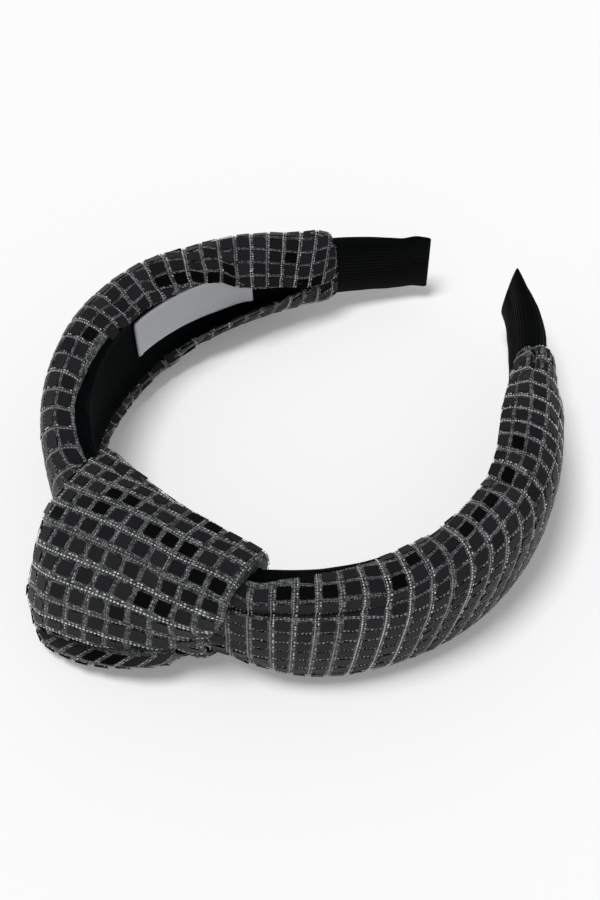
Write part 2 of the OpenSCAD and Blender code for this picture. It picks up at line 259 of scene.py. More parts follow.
@dataclass(frozen=True)
class Cover:
    """A surface tabulated over two coordinates in mm, which flat patterns are wrapped on."""

    first: Array
    second: Array
    points: Array
    normals: Array

    @classmethod
    def of(cls, first: Array, second: Array, points: Array, inside: Array) -> "Cover":
        """Makes a cover whose normals point away from a row of inside points.

        Args:
            first: evenly spaced values of the first coordinate.
            second: evenly spaced values of the second coordinate.
            points: the surface's points, one for each pair of values.
            inside: for each first value, a point inside the piece.

        Returns:
            The cover.
        """
        normals = np.cross(np.gradient(points, axis=0), np.gradient(points, axis=1))
        normals /= sizes(normals)
        away = ((points - inside[:, None]) * normals).sum(-1)
        return cls(first, second, points, normals * np.sign(np.median(away)))

    def at(self, a: Array, b: Array, height: Array) -> Array:
        """Points of the surface at (a, b), raised by a height along its normal."""

        def cell(values: Array, grid: Array) -> tuple[Array, Array]:
            place = (values - grid[0]) / (grid[1] - grid[0])
            low = np.clip(np.floor(place).astype(int), 0, len(grid) - 2)
            return low, np.clip(place - low, 0, 1)[..., None]

        (i, u), (j, v) = cell(a, self.first), cell(b, self.second)

        def mixed(table: Array) -> Array:
            low, high = (table[k, j] * (1 - v) + table[k, j + 1] * v for k in (i, i + 1))
            return low * (1 - u) + high * u

        normals = mixed(self.normals)
        return mixed(self.points) + normals / sizes(normals) * np.asarray(height)[..., None]


def link_mesh(name: str, bm: bmesh.types.BMesh) -> Piece:
    """Makes an object of a bmesh and links it to the scene."""
    mesh = bpy.data.meshes.new(name)
    bm.to_mesh(mesh)
    bm.free()
    piece = bpy.data.objects.new(name, mesh)
    bpy.context.scene.collection.objects.link(piece)
    return piece


def flat_grid(cols: int, rows: int) -> bmesh.types.BMesh:
    """A flat grid of unit cells from the origin, cols along x and rows along y."""
    bm = bmesh.new()
    bmesh.ops.create_grid(bm, x_segments=cols, y_segments=rows, size=0.5)
    bmesh.ops.translate(bm, verts=bm.verts, vec=(0.5, 0.5, 0))
    bmesh.ops.scale(bm, verts=bm.verts, vec=(cols, rows, 1))
    return bm


def read_points(mesh: bpy.types.Mesh) -> Array:
    """The mesh's vertices as rows of x, y, z."""
    points = np.empty(len(mesh.vertices) * 3)
    mesh.vertices.foreach_get("co", points)
    return points.reshape(-1, 3)


def wrap_patches(mesh: bpy.types.Mesh, points: Array) -> None:
    """Moves a mesh's vertices to these points, given in mm, and turns its faces outwards."""
    mesh.vertices.foreach_set("co", (points * MM).ravel())
    mesh.update()
    bm = bmesh.new()
    bm.from_mesh(mesh)
    bmesh.ops.recalc_face_normals(bm, faces=bm.faces)
    bm.to_mesh(mesh)
    bm.free()


def mark(piece: Piece, name: str, values: Array) -> None:
    """Stores a value for each vertex of a piece, for its material to read."""
    layer = piece.data.attributes.new(name, "FLOAT", "POINT")
    layer.data.foreach_set("value", values.astype(np.float32))


def dress(piece: Piece, slot: str, *finishes: Material, nodes: tuple[str, ...] = ()) -> Piece:
    """Finishes a piece and puts it on the part's one body.

    Args:
        piece: the piece.
        slot: the name of its material slot; not used.
        *finishes: its materials.
        nodes: the solids that it stands for.

    Returns:
        The piece.
    """
    for finish in finishes:
        piece.data.materials.append(finish)
    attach(piece, "root")
    if nodes:
        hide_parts(*nodes)
    log.info("%s: %d faces", piece.name, len(piece.data.polygons))
    return piece


@dataclass(frozen=True)
class Skin:
    """A tube or sheet modelled as a flat grid, given its map, and then wrapped to shape."""

    name: str
    slot: str
    finish: Material
    nodes: tuple[str, ...] = ()
    capped: bool = True

    def build(self, points: Array, *flat: Array) -> Piece:
        """Wraps the grid onto closed rings of points.

        Args:
            points: rings by points by xyz, in mm.
            *flat: two cloth coordinates in mm, for the piece's map.

        Returns:
            The piece.
        """
        flat = coords(*flat)
        bm = flat_grid(len(points) - 1, len(points[0]) - 1)
        layer = bm.loops.layers.uv.new("cloth")
        for face in bm.faces:
            for loop in face.loops:
                loop[layer].uv = flat[round(loop.vert.co.x), round(loop.vert.co.y)]
        for vert in bm.verts:
            vert.co = Vector(points[round(vert.co.x), round(vert.co.y)]) * MM
        bmesh.ops.remove_doubles(bm, verts=bm.verts, dist=WELD)
        if self.capped:
            bmesh.ops.holes_fill(bm, edges=[e for e in bm.edges if e.is_boundary], sides=0)
        bmesh.ops.recalc_face_normals(bm, faces=bm.faces)
        for face in bm.faces:
            face.smooth = True
        return dress(link_mesh(self.name, bm), self.slot, self.finish, nodes=self.nodes)


@dataclass(frozen=True)
class Settle:
    """Lets cloth settle on its filling by a coarse simulation and tells how it moved, in mm."""

    frames: int = 16
    pressure: float = 3.0
    slack: float = 0.03
    cap: float = 0.5
    step: int = 3

    def moves(self, points: Array, held: Array) -> Array:
        """Simulates a grid of cloth and spreads its moves over all the grid's points.

        Args:
            points: stations by points by xyz, in mm.
            held: a mask of the same grid, true where the cloth is sewn or tucked in.

        Returns:
            The move of each point in mm.
        """
        rows, cols = (np.unique(np.append(np.arange(0, n, self.step), n - 1)) for n in held.shape)
        start = points[np.ix_(rows, cols)]
        bm = flat_grid(len(rows) - 1, len(cols) - 1)
        order = np.zeros(start.shape[:2], int)
        for index, vert in enumerate(bm.verts):
            key = round(vert.co.x), round(vert.co.y)
            order[key] = index
            vert.co = Vector(start[key]) * MM
        bmesh.ops.recalc_face_normals(bm, faces=bm.faces)
        cloth = link_mesh("settling_cloth", bm)
        group = cloth.vertex_groups.new(name="sewn")
        group.add(order[held[np.ix_(rows, cols)]].tolist(), 1.0, "REPLACE")
        modifier = cloth.modifiers.new("cloth", "CLOTH")
        settings = {
            "quality": 6, "mass": 0.2, "tension_stiffness": 12, "compression_stiffness": 12,
            "bending_stiffness": 0.4, "use_pressure": True,
            "uniform_pressure_force": self.pressure, "shrink_min": -self.slack,
            "vertex_group_mass": group.name, "pin_stiffness": 5.0,
        }
        for name, value in settings.items():
            setattr(modifier.settings, name, value)
        modifier.settings.effector_weights.gravity = 0
        modifier.collision_settings.use_collision = False
        modifier.point_cache.frame_end = self.frames
        for frame in range(1, self.frames + 1):
            bpy.context.scene.frame_set(frame)
        shape = cloth.evaluated_get(bpy.context.evaluated_depsgraph_get())
        move = read_points(shape.data)[order] / MM - start
        bpy.context.scene.frame_set(1)
        bpy.data.objects.remove(cloth)
        size = sizes(move)
        log.info("settled %d points by at most %.2f mm", order.size, size.max())
        move = move * self.cap * np.tanh(size / self.cap) / size
        wide = resampled(move, np.broadcast_to(cols, order.shape), np.arange(held.shape[1]))
        return blended(wide, np.interp(np.arange(len(held)), rows, np.arange(len(rows))))


@dataclass(frozen=True)
class Patch:
    """A small raised patch that is repeated over a flat cloth, sizes in mm.

    Attributes:
        along, across: the sides of its cell.
        border: the bare share of the cell on each side.
        rise: its height.
        top: the share of its foot that its top has.
        corner: how far its corners are cut, as a share of the cell.
    """

    along: float
    across: float
    border: float
    rise: float
    top: float
    corner: float = 0.0

    def sheet(self, name: str, wanted: Array) -> tuple[Piece, Array, Array]:
        """Makes a flat sheet of separate patches.

        Args:
            name: the piece's name.
            wanted: a mask over the cells, true where there is a patch.

        Returns:
            The piece, each vertex's cell and its place in that cell in mm.
        """
        bm = flat_grid(*wanted.shape)
        cells = bm.faces[:]
        bmesh.ops.inset_individual(bm, faces=cells, thickness=self.border, use_even_offset=True)
        keep = set(cells)
        frames = [face for face in bm.faces if face not in keep]
        bmesh.ops.delete(bm, geom=frames, context="FACES")
        if self.corner:
            bmesh.ops.bevel(
                bm, geom=bm.verts[:], offset=self.corner, offset_type="OFFSET", segments=2,
                profile=0.5, affect="VERTICES", material=-1,
            )
        lift = Vector((0, 0, self.rise))
        for face in bmesh.ops.extrude_discrete_faces(bm, faces=bm.faces[:])["faces"]:
            middle = face.calc_center_median() + lift
            for vert in face.verts:
                vert.co = middle + (vert.co - middle + lift) * self.top
                vert.co.z = self.rise
        gone = [vert for vert in bm.verts if not wanted[int(vert.co.x), int(vert.co.y)]]
        bmesh.ops.delete(bm, geom=gone, context="VERTS")
        piece = link_mesh(name, bm)
        local = read_points(piece.data)
        cell = np.floor(local[:, :2]).astype(int)
        local[:, :2] = (local[:, :2] - cell - 0.5) * (self.along, self.across)
        return piece, cell, local


def flattened(points: Array, group: Array, share: float, tilt: Array) -> tuple[Array, Array]:
    """Presses each patch towards its own plane and tilts it a little.

    Args:
        points: the patches' points.
        group: each point's patch number.
        share: how flat each patch becomes, from 0 to 1.
        tilt: two slopes for each patch.

    Returns:
        The moved points, and for each point the middle of its patch.
    """
    order = np.argsort(group, kind="stable")
    patch = points[order].reshape(len(tilt), -1, 3)
    middle = patch.mean(1, keepdims=True)
    away = patch - middle
    axes = np.linalg.svd(away, full_matrices=False)[2]
    along, across, height = np.moveaxis(away @ axes.swapaxes(1, 2), -1, 0)
    push = along * tilt[:, :1] + across * tilt[:, 1:] - share * height
    moved, middles = np.empty_like(points), np.empty_like(points)
    moved[order] = (patch + push[..., None] * axes[:, None, 2]).reshape(-1, 3)
    middles[order] = (middle + 0 * patch).reshape(-1, 3)
    return moved, middles


def srgb(colour: str) -> tuple[float, float, float, float]:
    """Turns an sRGB hex colour into the linear one that a shader takes."""
    parts = [int(colour[i : i + 2], 16) / 255 for i in (0, 2, 4)]
    linear = [p / 12.92 if p <= 0.04045 else ((p + 0.055) / 1.055) ** 2.4 for p in parts]
    return (*linear, 1.0)


def add_node(
    tree: Tree, kind: str, settings: dict | None = None, **values: object
) -> bpy.types.Node:
    """Adds a node with its settings and its inputs.

    Args:
        tree: the material's tree.
        kind: the node's type, after "ShaderNode".
        settings: properties of the node itself.
        **values: inputs by name, underscores for spaces, or _0, _1 for an input's number. A
            socket is linked, anything else is set.

    Returns:
        The node.
    """
    node = tree.nodes.new(f"ShaderNode{kind}")
    for name, value in (settings or {}).items():
        setattr(node, name, value)
    for name, value in values.items():
        key = int(name[1:]) if name[1:].isdigit() else name.replace("_", " ")
        if isinstance(value, Socket):
            tree.links.new(value, node.inputs[key])
        else:
            node.inputs[key].default_value = value
    return node


def new_material(name: str) -> tuple[Material, Tree]:
    """Makes a material with an empty tree."""
    material = bpy.data.materials.new(name)
    material.use_nodes = True
    material.node_tree.nodes.clear()
    return material, material.node_tree


def add_shader(tree: Tree, **values: object) -> None:
    """Adds the material's one shader and its output."""
    shader = add_node(tree, "BsdfPrincipled", **values)
    add_node(tree, "OutputMaterial", Surface=shader.outputs["BSDF"])


@dataclass(frozen=True)
class Finish:
    """A cloth's material, coloured through a ramp by its own pattern.

    Attributes:
        name: the material's name.
        stops: the ramp's places and sRGB hex colours.
        roughness, specular, ior, metallic: the shader's own inputs.
        bump: the strength of the pattern's bump, and its depth in mm.
        sunk: whether the pattern's high places are the deep ones.
    """

    name: str
    stops: tuple[tuple[float, str], ...]
    roughness: float
    specular: float = 0.5
    ior: float = 1.45
    metallic: float = 0.0
    bump: tuple[float, float] = (0.3, 0.05)
    sunk: bool = False

    def pattern(self, tree: Tree) -> tuple[Socket, Socket | None]:
        """The outputs that the ramp and the bump read."""
        raise NotImplementedError

    def cloth(self, tree: Tree) -> Socket:
        """The piece's flat cloth map, in mm."""
        return add_node(tree, "UVMap", {"uv_map": "cloth"}).outputs["UV"]

    def mark(self, tree: Tree, name: str) -> Socket:
        """A value that is stored on the piece."""
        return add_node(tree, "Attribute", {"attribute_name": name}).outputs["Fac"]

    def make(self) -> Material:
        """Builds the material."""
        material, tree = new_material(self.name)
        tone, height = self.pattern(tree)
        colour = add_node(tree, "ValToRGB", Fac=tone)
        band = colour.color_ramp.elements
        band.remove(band[-1])
        for i, (place, hexed) in enumerate(self.stops):
            stop = band.new(place) if i else band[0]
            stop.position = place
            stop.color = srgb(hexed)
        links = {"Base_Color": colour.outputs["Color"]}
        if height is not None:
            strength, depth = self.bump
            bump = add_node(
                tree, "Bump", {"invert": self.sunk}, Height=height, Strength=strength,
                Distance=depth * MM,
            )
            links["Normal"] = bump.outputs["Normal"]
        add_shader(
            tree, Roughness=self.roughness, Specular_IOR_Level=self.specular, IOR=self.ior,
            Metallic=self.metallic, **links,
        )
        return material


@dataclass(frozen=True)
class Knit(Finish):
    """Fine warp-knit ground of black and silver yarn: a dark, speckled, faintly bright mesh."""

    loop: float = 0.66

    def pattern(self, tree: Tree) -> tuple[Socket, Socket | None]:
        """Specks a yarn loop across, darker or lighter by the yarn."""
        cloth = self.cloth(tree)
        loops, yarns = (
            add_node(
                tree, "TexVoronoi", {"voronoi_dimensions": "2D", "feature": feature},
                Vector=cloth, Scale=scale / self.loop, Randomness=loose,
            )
            for feature, scale, loose in (("DISTANCE_TO_EDGE", 1, 0.55), ("F1", 0.7, 0.9))
        )
        split = add_node(tree, "SeparateColor", Color=yarns.outputs["Color"])
        yarn = add_node(tree, "MapRange", Value=split.outputs[0], To_Min=0.14, To_Max=-0.1)
        edge = loops.outputs["Distance"]
        tone = add_node(tree, "Math", {"operation": "ADD"}, _0=edge, _1=yarn.outputs["Result"])
        return tone.outputs["Value"], edge


@dataclass(frozen=True)
class Film(Finish):
    """Film woven in as small squares: nearly black, smooth, with a soft cool shine."""

    def pattern(self, tree: Tree) -> tuple[Socket, Socket | None]:
        """A tone that differs from square to square, and fine weft lines."""
        weft = add_node(tree, "Math", {"operation": "SINE"}, _0=self.mark(tree, "weft"))
        return self.mark(tree, "tone"), weft.outputs["Value"]


@dataclass(frozen=True)
class Thread(Finish):
    """Metallised thread in short floats: each one catches the light as a bright dot."""

    def pattern(self, tree: Tree) -> tuple[Socket, Socket | None]:
        """A tone that differs from dot to dot."""
        return self.mark(tree, "tone"), None


@dataclass(frozen=True)
class Woven(Finish):
    """Plain dark cloth, its yarns too fine to show but as soft streaks."""

    grain: tuple[float, float] = (1.0, 1.0)
    detail: float = 2.0

    def pattern(self, tree: Tree) -> tuple[Socket, Socket | None]:
        """Streaks with the grain of the cloth."""
        grain = add_node(tree, "Mapping", Vector=self.cloth(tree), Scale=(*self.grain, 1))
        streak = add_node(
            tree, "TexNoise", Vector=grain.outputs["Vector"], Scale=1.0, Detail=self.detail
        )
        return streak.outputs["Fac"], streak.outputs["Fac"]


@dataclass(frozen=True)
class Twill(Finish):
    """Grey label, woven fine: matt, with a faint twill."""

    yarn: float = 0.35

    def pattern(self, tree: Tree) -> tuple[Socket, Socket | None]:
        """Slanting lines three yarns apart."""
        wave = add_node(
            tree, "TexWave", {"wave_type": "BANDS", "bands_direction": "DIAGONAL"},
            Vector=self.cloth(tree), Scale=1 / (3 * self.yarn), Distortion=0.6, Detail=2.0,
        )
        return wave.outputs["Fac"], wave.outputs["Fac"]


FINISHES = {
    "ground": Knit(
        "knit_ground_silver_black",
        ((0.0, "7f8483"), (0.1, "5a5e5d"), (0.2, "282a2a"), (0.4, "0c0d0d")), 0.55,
        bump=(0.6, 0.1), sunk=True,
    ),
    "film": Film(
        "film_squares_dark", ((0, "18161a"), (1, "252327")), 0.45, 0.1, 1.5, bump=(0.06, 0.01)
    ),
    # Near-black copy of the film: a painted reflection of the room's dark, put on the squares
    # listed as painted reflections.
    "painted_reflection_film": Film(
        "film_squares_black", ((0, "020203"), (1, "060507")), 0.3, 0.08, 1.5, bump=(0.06, 0.01)
    ),
    "thread": Thread(
        "silver_thread_bright", ((0, "77797b"), (1, "fafbfc")), 0.45, ior=1.5, metallic=0.2
    ),
    "fine_thread": Thread(
        "silver_thread_fine", ((0, "3c3e40"), (1, "d0d2d4")), 0.45, ior=1.5, metallic=0.2
    ),
    "lining": Woven(
        "satin_lining_black", ((0.3, "020405"), (0.7, "04090b")), 0.75, 0.05, bump=(0.25, 0.05),
        grain=(0.08, 1 / 0.3), detail=3.0,
    ),
    "label": Twill("woven_label_grey", ((0, "d2d3d8"), (1, "e2e3e7")), 0.75),
    "ribbon": Woven(
        "grosgrain_ribbon_black", ((0.3, "030405"), (0.7, "080a0b")), 0.7, 0.1, bump=(0.3, 0.06),
        grain=(1 / 0.35, 1 / 0.35),
    ),
}


class Run(Enum):
    """Which way a thread runs over the flat cloth."""

    ALONG = 0
    ACROSS = 1


@dataclass(frozen=True)
class Lie:
    """How the flat cloth lies on a piece.

    Attributes:
        wrap: turns flat cloth places in mm into the cover's two coordinates.
        shows: tells for cover coordinates whether cloth shows there.
        span: the flat cloth's first and last square, along and across.
        bright: which way the bright thread runs.
        seed: start of the random tones.
        fill: the share of a cell that its square takes, along and across.
        painted_reflections: the squares that get the near-black film, a painted reflection of the
            dark of the room.
    """

    wrap: Callable[[Array, Array], tuple[Array, Array]]
    shows: Callable[[Array, Array], Array]
    span: tuple[int, int, int, int]
    bright: Run
    seed: int
    fill: tuple[float, float]
    painted_reflections: Squares


@dataclass(frozen=True)
class Lines:
    """Lines of thread dots that run between the squares, sizes in mm.

    Attributes:
        patch: the dot.
        offsets: the lines' places in each gap between squares.
        missing: for each of those lines, the share of its dots that is hidden.
        per_square: the dots beside each square, none for lines without breaks.
    """

    patch: Patch
    offsets: tuple[float, float]
    missing: tuple[float, float]
    per_square: int = 0

    def places(self, start: float, stop: float, pitch: float) -> Array:
        """The dots' places on a line."""
        if not self.per_square:
            return np.arange(start, stop, self.patch.along)
        offsets = np.arange(self.per_square) - (self.per_square - 1) / 2
        return (np.arange(start, stop, pitch)[:, None] + offsets * self.patch.along).ravel()


@dataclass(frozen=True)
class SquaredCloth:
    """The squared cloth's own sizes in mm, and its three raised parts."""

    pitch: float = 6.0
    square: Patch = Patch(6.0, 6.0, 0.15, 0.14, 0.96, corner=0.06)
    strong: Lines = Lines(Patch(1.1, 0.66, 0.22, 0.16, 0.65), (-0.3, 0.55), (0, 0.6))
    fine: Lines = Lines(Patch(1.05, 0.62, 0.24, 0.1, 0.65), (-0.3, 0.3), (0.3, 0.3), 4)
    lift: float = 0.31
    flatness: float = 0.7
    proud: float = 0.25
    tilt: float = 0.02
    weft: float = 0.35
    bright_share: float = 0.38
    bright_levels: tuple[float, float] = (0.8, 1)
    dim_levels: tuple[float, float] = (0.15, 0.5)
    least_tone: float = 0.35

    def squares(self, name: str, cover: Cover, lie: Lie, finishes: dict[str, Material]) -> None:
        """Lays film squares on a cover.

        Args:
            name: the piece's name.
            cover: the surface.
            lie: how the cloth lies on it.
            finishes: the headband's finishes.
        """
        rng = np.random.default_rng(lie.seed)
        first, last, low, high = lie.span
        grid = np.mgrid[first:last, low:high]
        piece, cell, local = self.square.sheet(name, lie.shows(*lie.wrap(*grid * self.pitch)))
        local[:, :2] *= np.array(lie.fill) / (1 - 2 * self.square.border)
        flat = (cell + (first, low)) * self.pitch
        points = cover.at(*lie.wrap(*(flat + local[:, :2]).T), local[:, 2] + self.lift)
        group = cell[:, 0] * (high - low) + cell[:, 1]
        tilts = rng.normal(0, self.tilt, (len(np.unique(group)), 2))
        height = self.lift + self.square.rise / 2
        crown, above = (cover.at(*lie.wrap(*flat.T), height + up) for up in (0, 1))
        out = above - crown
        points, middles = flattened(points, group, self.flatness, tilts)
        sag = ((crown - middles) * out).sum(-1, keepdims=True)
        wrap_patches(piece.data, points + np.clip(sag, 0, self.proud) * out)
        mark(piece, "tone", rng.random(grid[0].shape)[tuple(cell.T)])
        mark(piece, "weft", local[:, 0] * (2 * math.pi / self.weft))
        dress(piece, "cloth", finishes["film"], finishes["painted_reflection_film"])
        # Squares in the lie's list take the second, near-black film: a painted reflection of the
        # room's dark.
        black = np.zeros(grid[0].shape, bool)
        for i, j in lie.painted_reflections:
            black[i - first, j - low] = True
        firsts = [face.vertices[0] for face in piece.data.polygons]
        index = black[tuple(cell[firsts].T)].astype(np.int32)
        piece.data.polygons.foreach_set("material_index", index)

    def dots(
        self, name: str, lines: Lines, run: Run, cover: Cover, lie: Lie, finish: Material
    ) -> None:
        """Lays lines of thread dots on a cover.

        Args:
            name: the piece's name.
            lines: the lines.
            run: which way they run over the flat cloth.
            cover: the surface.
            lie: how the cloth lies on it.
            finish: the thread's material.
        """
        rng = np.random.default_rng(lie.seed + len(name))
        turned = slice(None, None, -1 if run is Run.ACROSS else 1)

        def wrap(*flat: Array) -> tuple[Array, Array]:
            return lie.wrap(*flat[turned])

        span = np.array(lie.span).reshape(2, 2)[turned] * self.pitch
        places = lines.places(*span[0], self.pitch)
        between = np.arange(span[1, 0] + self.pitch / 2, span[1, 1], self.pitch)
        across = (between[:, None] + lines.offsets).ravel()
        missing = np.tile(lines.missing, len(between))
        shape = (len(places), len(across))
        wanted = lie.shows(*wrap(*np.broadcast_arrays(places[:, None], across)))
        piece, cell, local = lines.patch.sheet(name, wanted & (rng.random(shape) >= missing))
        flat = places[cell[:, 0]] + local[:, 0], across[cell[:, 1]] + local[:, 1]
        wrap_patches(piece.data, cover.at(*wrap(*flat), local[:, 2] + self.lift))
        level = np.where(
            rng.random(len(across)) < self.bright_share,
            rng.uniform(*self.bright_levels, len(across)),
            rng.uniform(*self.dim_levels, len(across)),
        )
        tones = (self.least_tone + (1 - self.least_tone) * rng.random(shape)) * level
        mark(piece, "tone", tones[tuple(cell.T)])
        dress(piece, "cloth", finish)


@dataclass(frozen=True)
class Making:
    """What every piece is made with: how the hoop lies, its cloth and its finishes."""

    laid: Laying
    cloth: SquaredCloth
    finishes: dict[str, Material]

    def pad(
        self, name: str, fill: float, points: Array, *flat: Array, capped: bool = True
    ) -> None:
        """Builds the ground cloth of a padded piece, in the place of its solid.

        Args:
            name: the solid's name.
            fill: how full the padding is; not used.
            points: the cloth's rings of points, in mm.
            *flat: two cloth coordinates in mm, for the piece's map.
            capped: whether its ends are closed.
        """
        ground = self.finishes["ground"]
        skin = Skin(f"{name}_ground", "cloth", ground, (name,), capped)
        skin.build(points, *flat)

    def lay(self, name: str, cover: Cover, lie: Lie) -> None:
        """Lays squares, bright thread and, across it, fine thread on a cover."""
        cloth, finishes = self.cloth, self.finishes
        other = Run.ACROSS if lie.bright is Run.ALONG else Run.ALONG
        cloth.squares(f"{name}_squares", cover, lie, finishes)
        threads = ("thread", cloth.strong, lie.bright), ("fine_thread", cloth.fine, other)
        for part, lines, run in threads:
            cloth.dots(f"{name}_{part}", lines, run, cover, lie, finishes[part])


@dataclass
class Arm:
    """A padded arm of the hoop in squared cloth, sizes in mm.

    Attributes:
        columns: the first column's place, the columns' pitch, and the place from which on
            they have the pitch that comes last.
        first_column: the first column's number.
    """

    hoop: Hoop
    side: Side
    folds: Array
    rims: Array
    crease: Array
    lap: Array
    lean: Array
    drift: Array
    columns: tuple[float, float, float, float]
    first_column: int
    fill: tuple[float, float]
    # Squares of this arm that carry the painted reflection of the room's dark (near-black film).
    painted_reflections: Squares
    band_width: float = 43.5
    pad_depth: float = 20.0
    channel_depth: float = 5.0
    lining_width: float = 28.0
    lining_wall: float = 1.2
    tip_width: float = 20.0
    tip_depth: float = 9.0
    tip_reach: float = 10.0
    clearance: float = 0.3
    hem: float = 2.4
    hem_run: float = 5.0
    inset: float = 0.8
    station: float = 0.9
    ring_step: float = 0.7
    row_pitch: float = 4.75
    rim_share: float = 0.48
    lip_share: float = 0.22
    roundness: float = 0.84
    lean_depth: float = 42.0
    shape: tuple[Array, Array, Array, Array] | None = None

    @property
    def name(self) -> str:
        """The arm's name in the frame."""
        return f"{self.side.name.lower()}_arm"

    def row(self, s: Array, col: int) -> Array:
        """A column of the arms' table at length s."""
        return eased(ARM_ROWS, s / self.hoop.arm_length, col)

    def width(self, s: Array) -> Array:
        """The band's width at length s."""
        return self.band_width * self.row(s, 1)

    def depth(self, s: Array) -> Array:
        """The padding's depth at length s."""
        return self.pad_depth * self.row(s, 2)

    def channel(self, s: Array) -> Array:
        """The channel's width at length s."""
        return self.lining_width * self.row(s, 3) + 2 * self.clearance

    def mouth(self, s: Array) -> Array:
        """The channel's width between the rims at length s."""
        return np.minimum(self.channel(s), 0.8 * self.width(s))

    def floor(self, s: Array) -> Array:
        """The channel's depth at length s. It rises before the pocket of the tip."""
        least = self.lining_wall + 2 * self.clearance
        end = self.hoop.arm_length - self.tip_reach - 4
        return least + (self.channel_depth - least) * np.interp(s, [end - 20, end], [1, 0])

    def outer(self, s: Array, turn: Array) -> Array:
        """Points of the section round its padded outside.

        Args:
            s: length along the arm.
            turn: degrees round the section.

        Returns:
            Distance outwards and height up the section.
        """
        s, turn = np.broadcast_arrays(np.asarray(s, float), np.asarray(turn, float))
        depth, half, mouth = self.depth(s), self.width(s) / 2, self.mouth(s) / 2
        rim, past = self.rim_share * depth, np.abs(turn) - 90
        lip = mouth + self.lip_share * (half - mouth)

        def bow(value: Array) -> Array:
            return np.sign(value) * np.abs(value) ** self.roundness

        front = coords(rim + (depth - rim) * bow(cosd(turn)), half * bow(sind(turn)))
        back = coords(rim - rim * sind(past), np.sign(turn) * (lip + (half - lip) * cosd(past)))
        point = np.where((past <= 0)[..., None], front, back)
        share = s / self.hoop.arm_length
        at, deep, spread = (read(self.crease, s, c) for c in (1, 2, 3))
        dent = deep * bell((turn - at) / spread)
        for place, at, length, spread, deep, slant in self.folds:
            around = (turn - at - slant * (share - place)) / spread
            dent = dent + deep * bell((share - place) / length, around)
        away = point - coords(depth / 2, 0)
        size = sizes(away)
        return point - away / size * np.minimum(self.pad_depth * dent[..., None], size / 2)

    def swell(self, s: Array, turn: Array) -> Array:
        """How far the rims roll in over the lining, as distance outwards and height to add."""
        share = s / self.hoop.arm_length
        out, up = 0, 0
        for place, length, sign, inward, over in self.rims:
            near = np.clip((sign * turn - 80) / 80, 0, 1)
            weight = near**2 * (3 - 2 * near) * bell((share - place) / length)
            out = out - inward * weight
            up = up - sign * over * weight
        return coords(out, up)

    def sections(self, s: Array) -> tuple[Array, Array]:
        """Evenly spaced, softened sections, and the girth of each of their points in mm."""
        s = np.minimum(s, self.hoop.arm_length)[:, None]
        turns = np.linspace(-180, 180, 361)[None]
        outside = self.outer(s, turns) + self.swell(s, turns)
        shares = np.linspace(0.5, 0, 14)
        floor = self.floor(s) * np.interp(shares, [0.3, 0.5], [1, 0.55])
        top = coords(floor, self.mouth(s) * shares)
        low = top[:, :0:-1] * (1, -1)
        rings = np.concatenate([low, outside, top], 1)
        run = girths(rings)
        middle = low.shape[1] + turns.size // 2
        run = run - run[:, middle : middle + 1]
        length = run[:, -1:] - run[:, :1]
        even = np.linspace(0, 1, 1 + round(length.max() / self.ring_step))
        girth = run[:, :1] + even * length
        return softened(resampled(rings, run, girth), 3), girth

    def tip_section(self, rings: Array) -> Array:
        """The ribbon's section just inside the fabric's end, matched to the rings' points."""
        away = rings - (0.29 * self.pad_depth, 0)
        unit = away / sizes(away)
        half = np.array([self.tip_depth / 2 + 0.5, self.tip_width / 2 + 0.6])
        power = 2.5
        reach = ((np.abs(unit) / half) ** power).sum(-1, keepdims=True) ** (-1 / power)
        return unit * reach + (0.23 * self.pad_depth, 0)

    def shell(self, s: Array, laid: Laying) -> tuple[Array, Array, Array]:
        """The arm's surface, rolled in at the fabric's end.

        Args:
            s: lengths, which may run past the fabric's end to follow the roll.
            laid: the laying.

        Returns:
            Points, girths, and a point inside the section for each length.
        """
        rings, girth = self.sections(s)
        start = self.hoop.arm_length - self.hem_run
        over = np.maximum(s - start, 0)
        angle = np.minimum(over / self.hem_run, math.pi / 2)
        rest = np.maximum(over - self.hem_run * math.pi / 2, 0)
        place = np.where(over > 0, start + self.hem_run * np.sin(angle), s) - 0.35 * rest
        inward = self.hem * (1 - np.cos(angle)) + rest
        gap = self.tip_section(rings) - rings
        rings = rings + gap * np.clip(inward[:, None, None] / sizes(gap), 0, 1)
        points = self.hoop.placed(self.side, place[:, None], rings[..., 0], rings[..., 1])
        inside = self.hoop.placed(self.side, place, self.depth(np.minimum(s, start)) / 2, 0)
        return laid(points), girth, laid(inside)

    def settled(self, laid: Laying) -> tuple[Array, Array, Array, Array]:
        """The arm's surface after its cloth has settled, worked out once.

        Args:
            laid: the laying.

        Returns:
            Lengths, points, girths, and a point inside the section for each length.
        """
        if self.shape is None:
            length = self.hoop.arm_length
            s = np.append(np.arange(0.2, length + 5, self.station), length + 5)
            points, girth, inside = self.shell(s, laid)
            plain, run, _ = replace(self, crease=self.crease * (1, 1, 0, 1)).shell(s, laid)
            lips = self.lip_girth(np.minimum(s, length))[:, None]
            sewn = (s < 16) | (s > length - 1)
            moves = Settle().moves(plain, (np.abs(run) > lips - 1.5) | sewn[:, None])
            points += resampled(moves, run, girth)
            away = points - inside[:, None]
            points -= self.inset * away / sizes(away)
            points[..., 2] = np.maximum(points[..., 2], 0)
            self.shape = s, points, girth, inside
        return self.shape

    def cover(self, laid: Laying) -> Cover:
        """The arm's surface over length and girth."""
        s, points, girth, inside = self.settled(laid)
        even = np.arange(s[0], s[-1] + 0.01, 0.75)
        across = np.arange(-56.0, 52.01, 0.5)
        at = np.interp(even, s, np.arange(len(s)))
        table = blended(resampled(points, girth, across), at)
        return Cover.of(even, across, table, blended(inside, at))

    def lip_girth(self, s: Array) -> Array:
        """The girth from the outer middle to the lip at lengths s."""
        s, turns = np.asarray(s, float)[:, None], np.linspace(0, 180, 121)[None]
        return girths(self.outer(s, turns) + self.swell(s, turns))[:, -1]

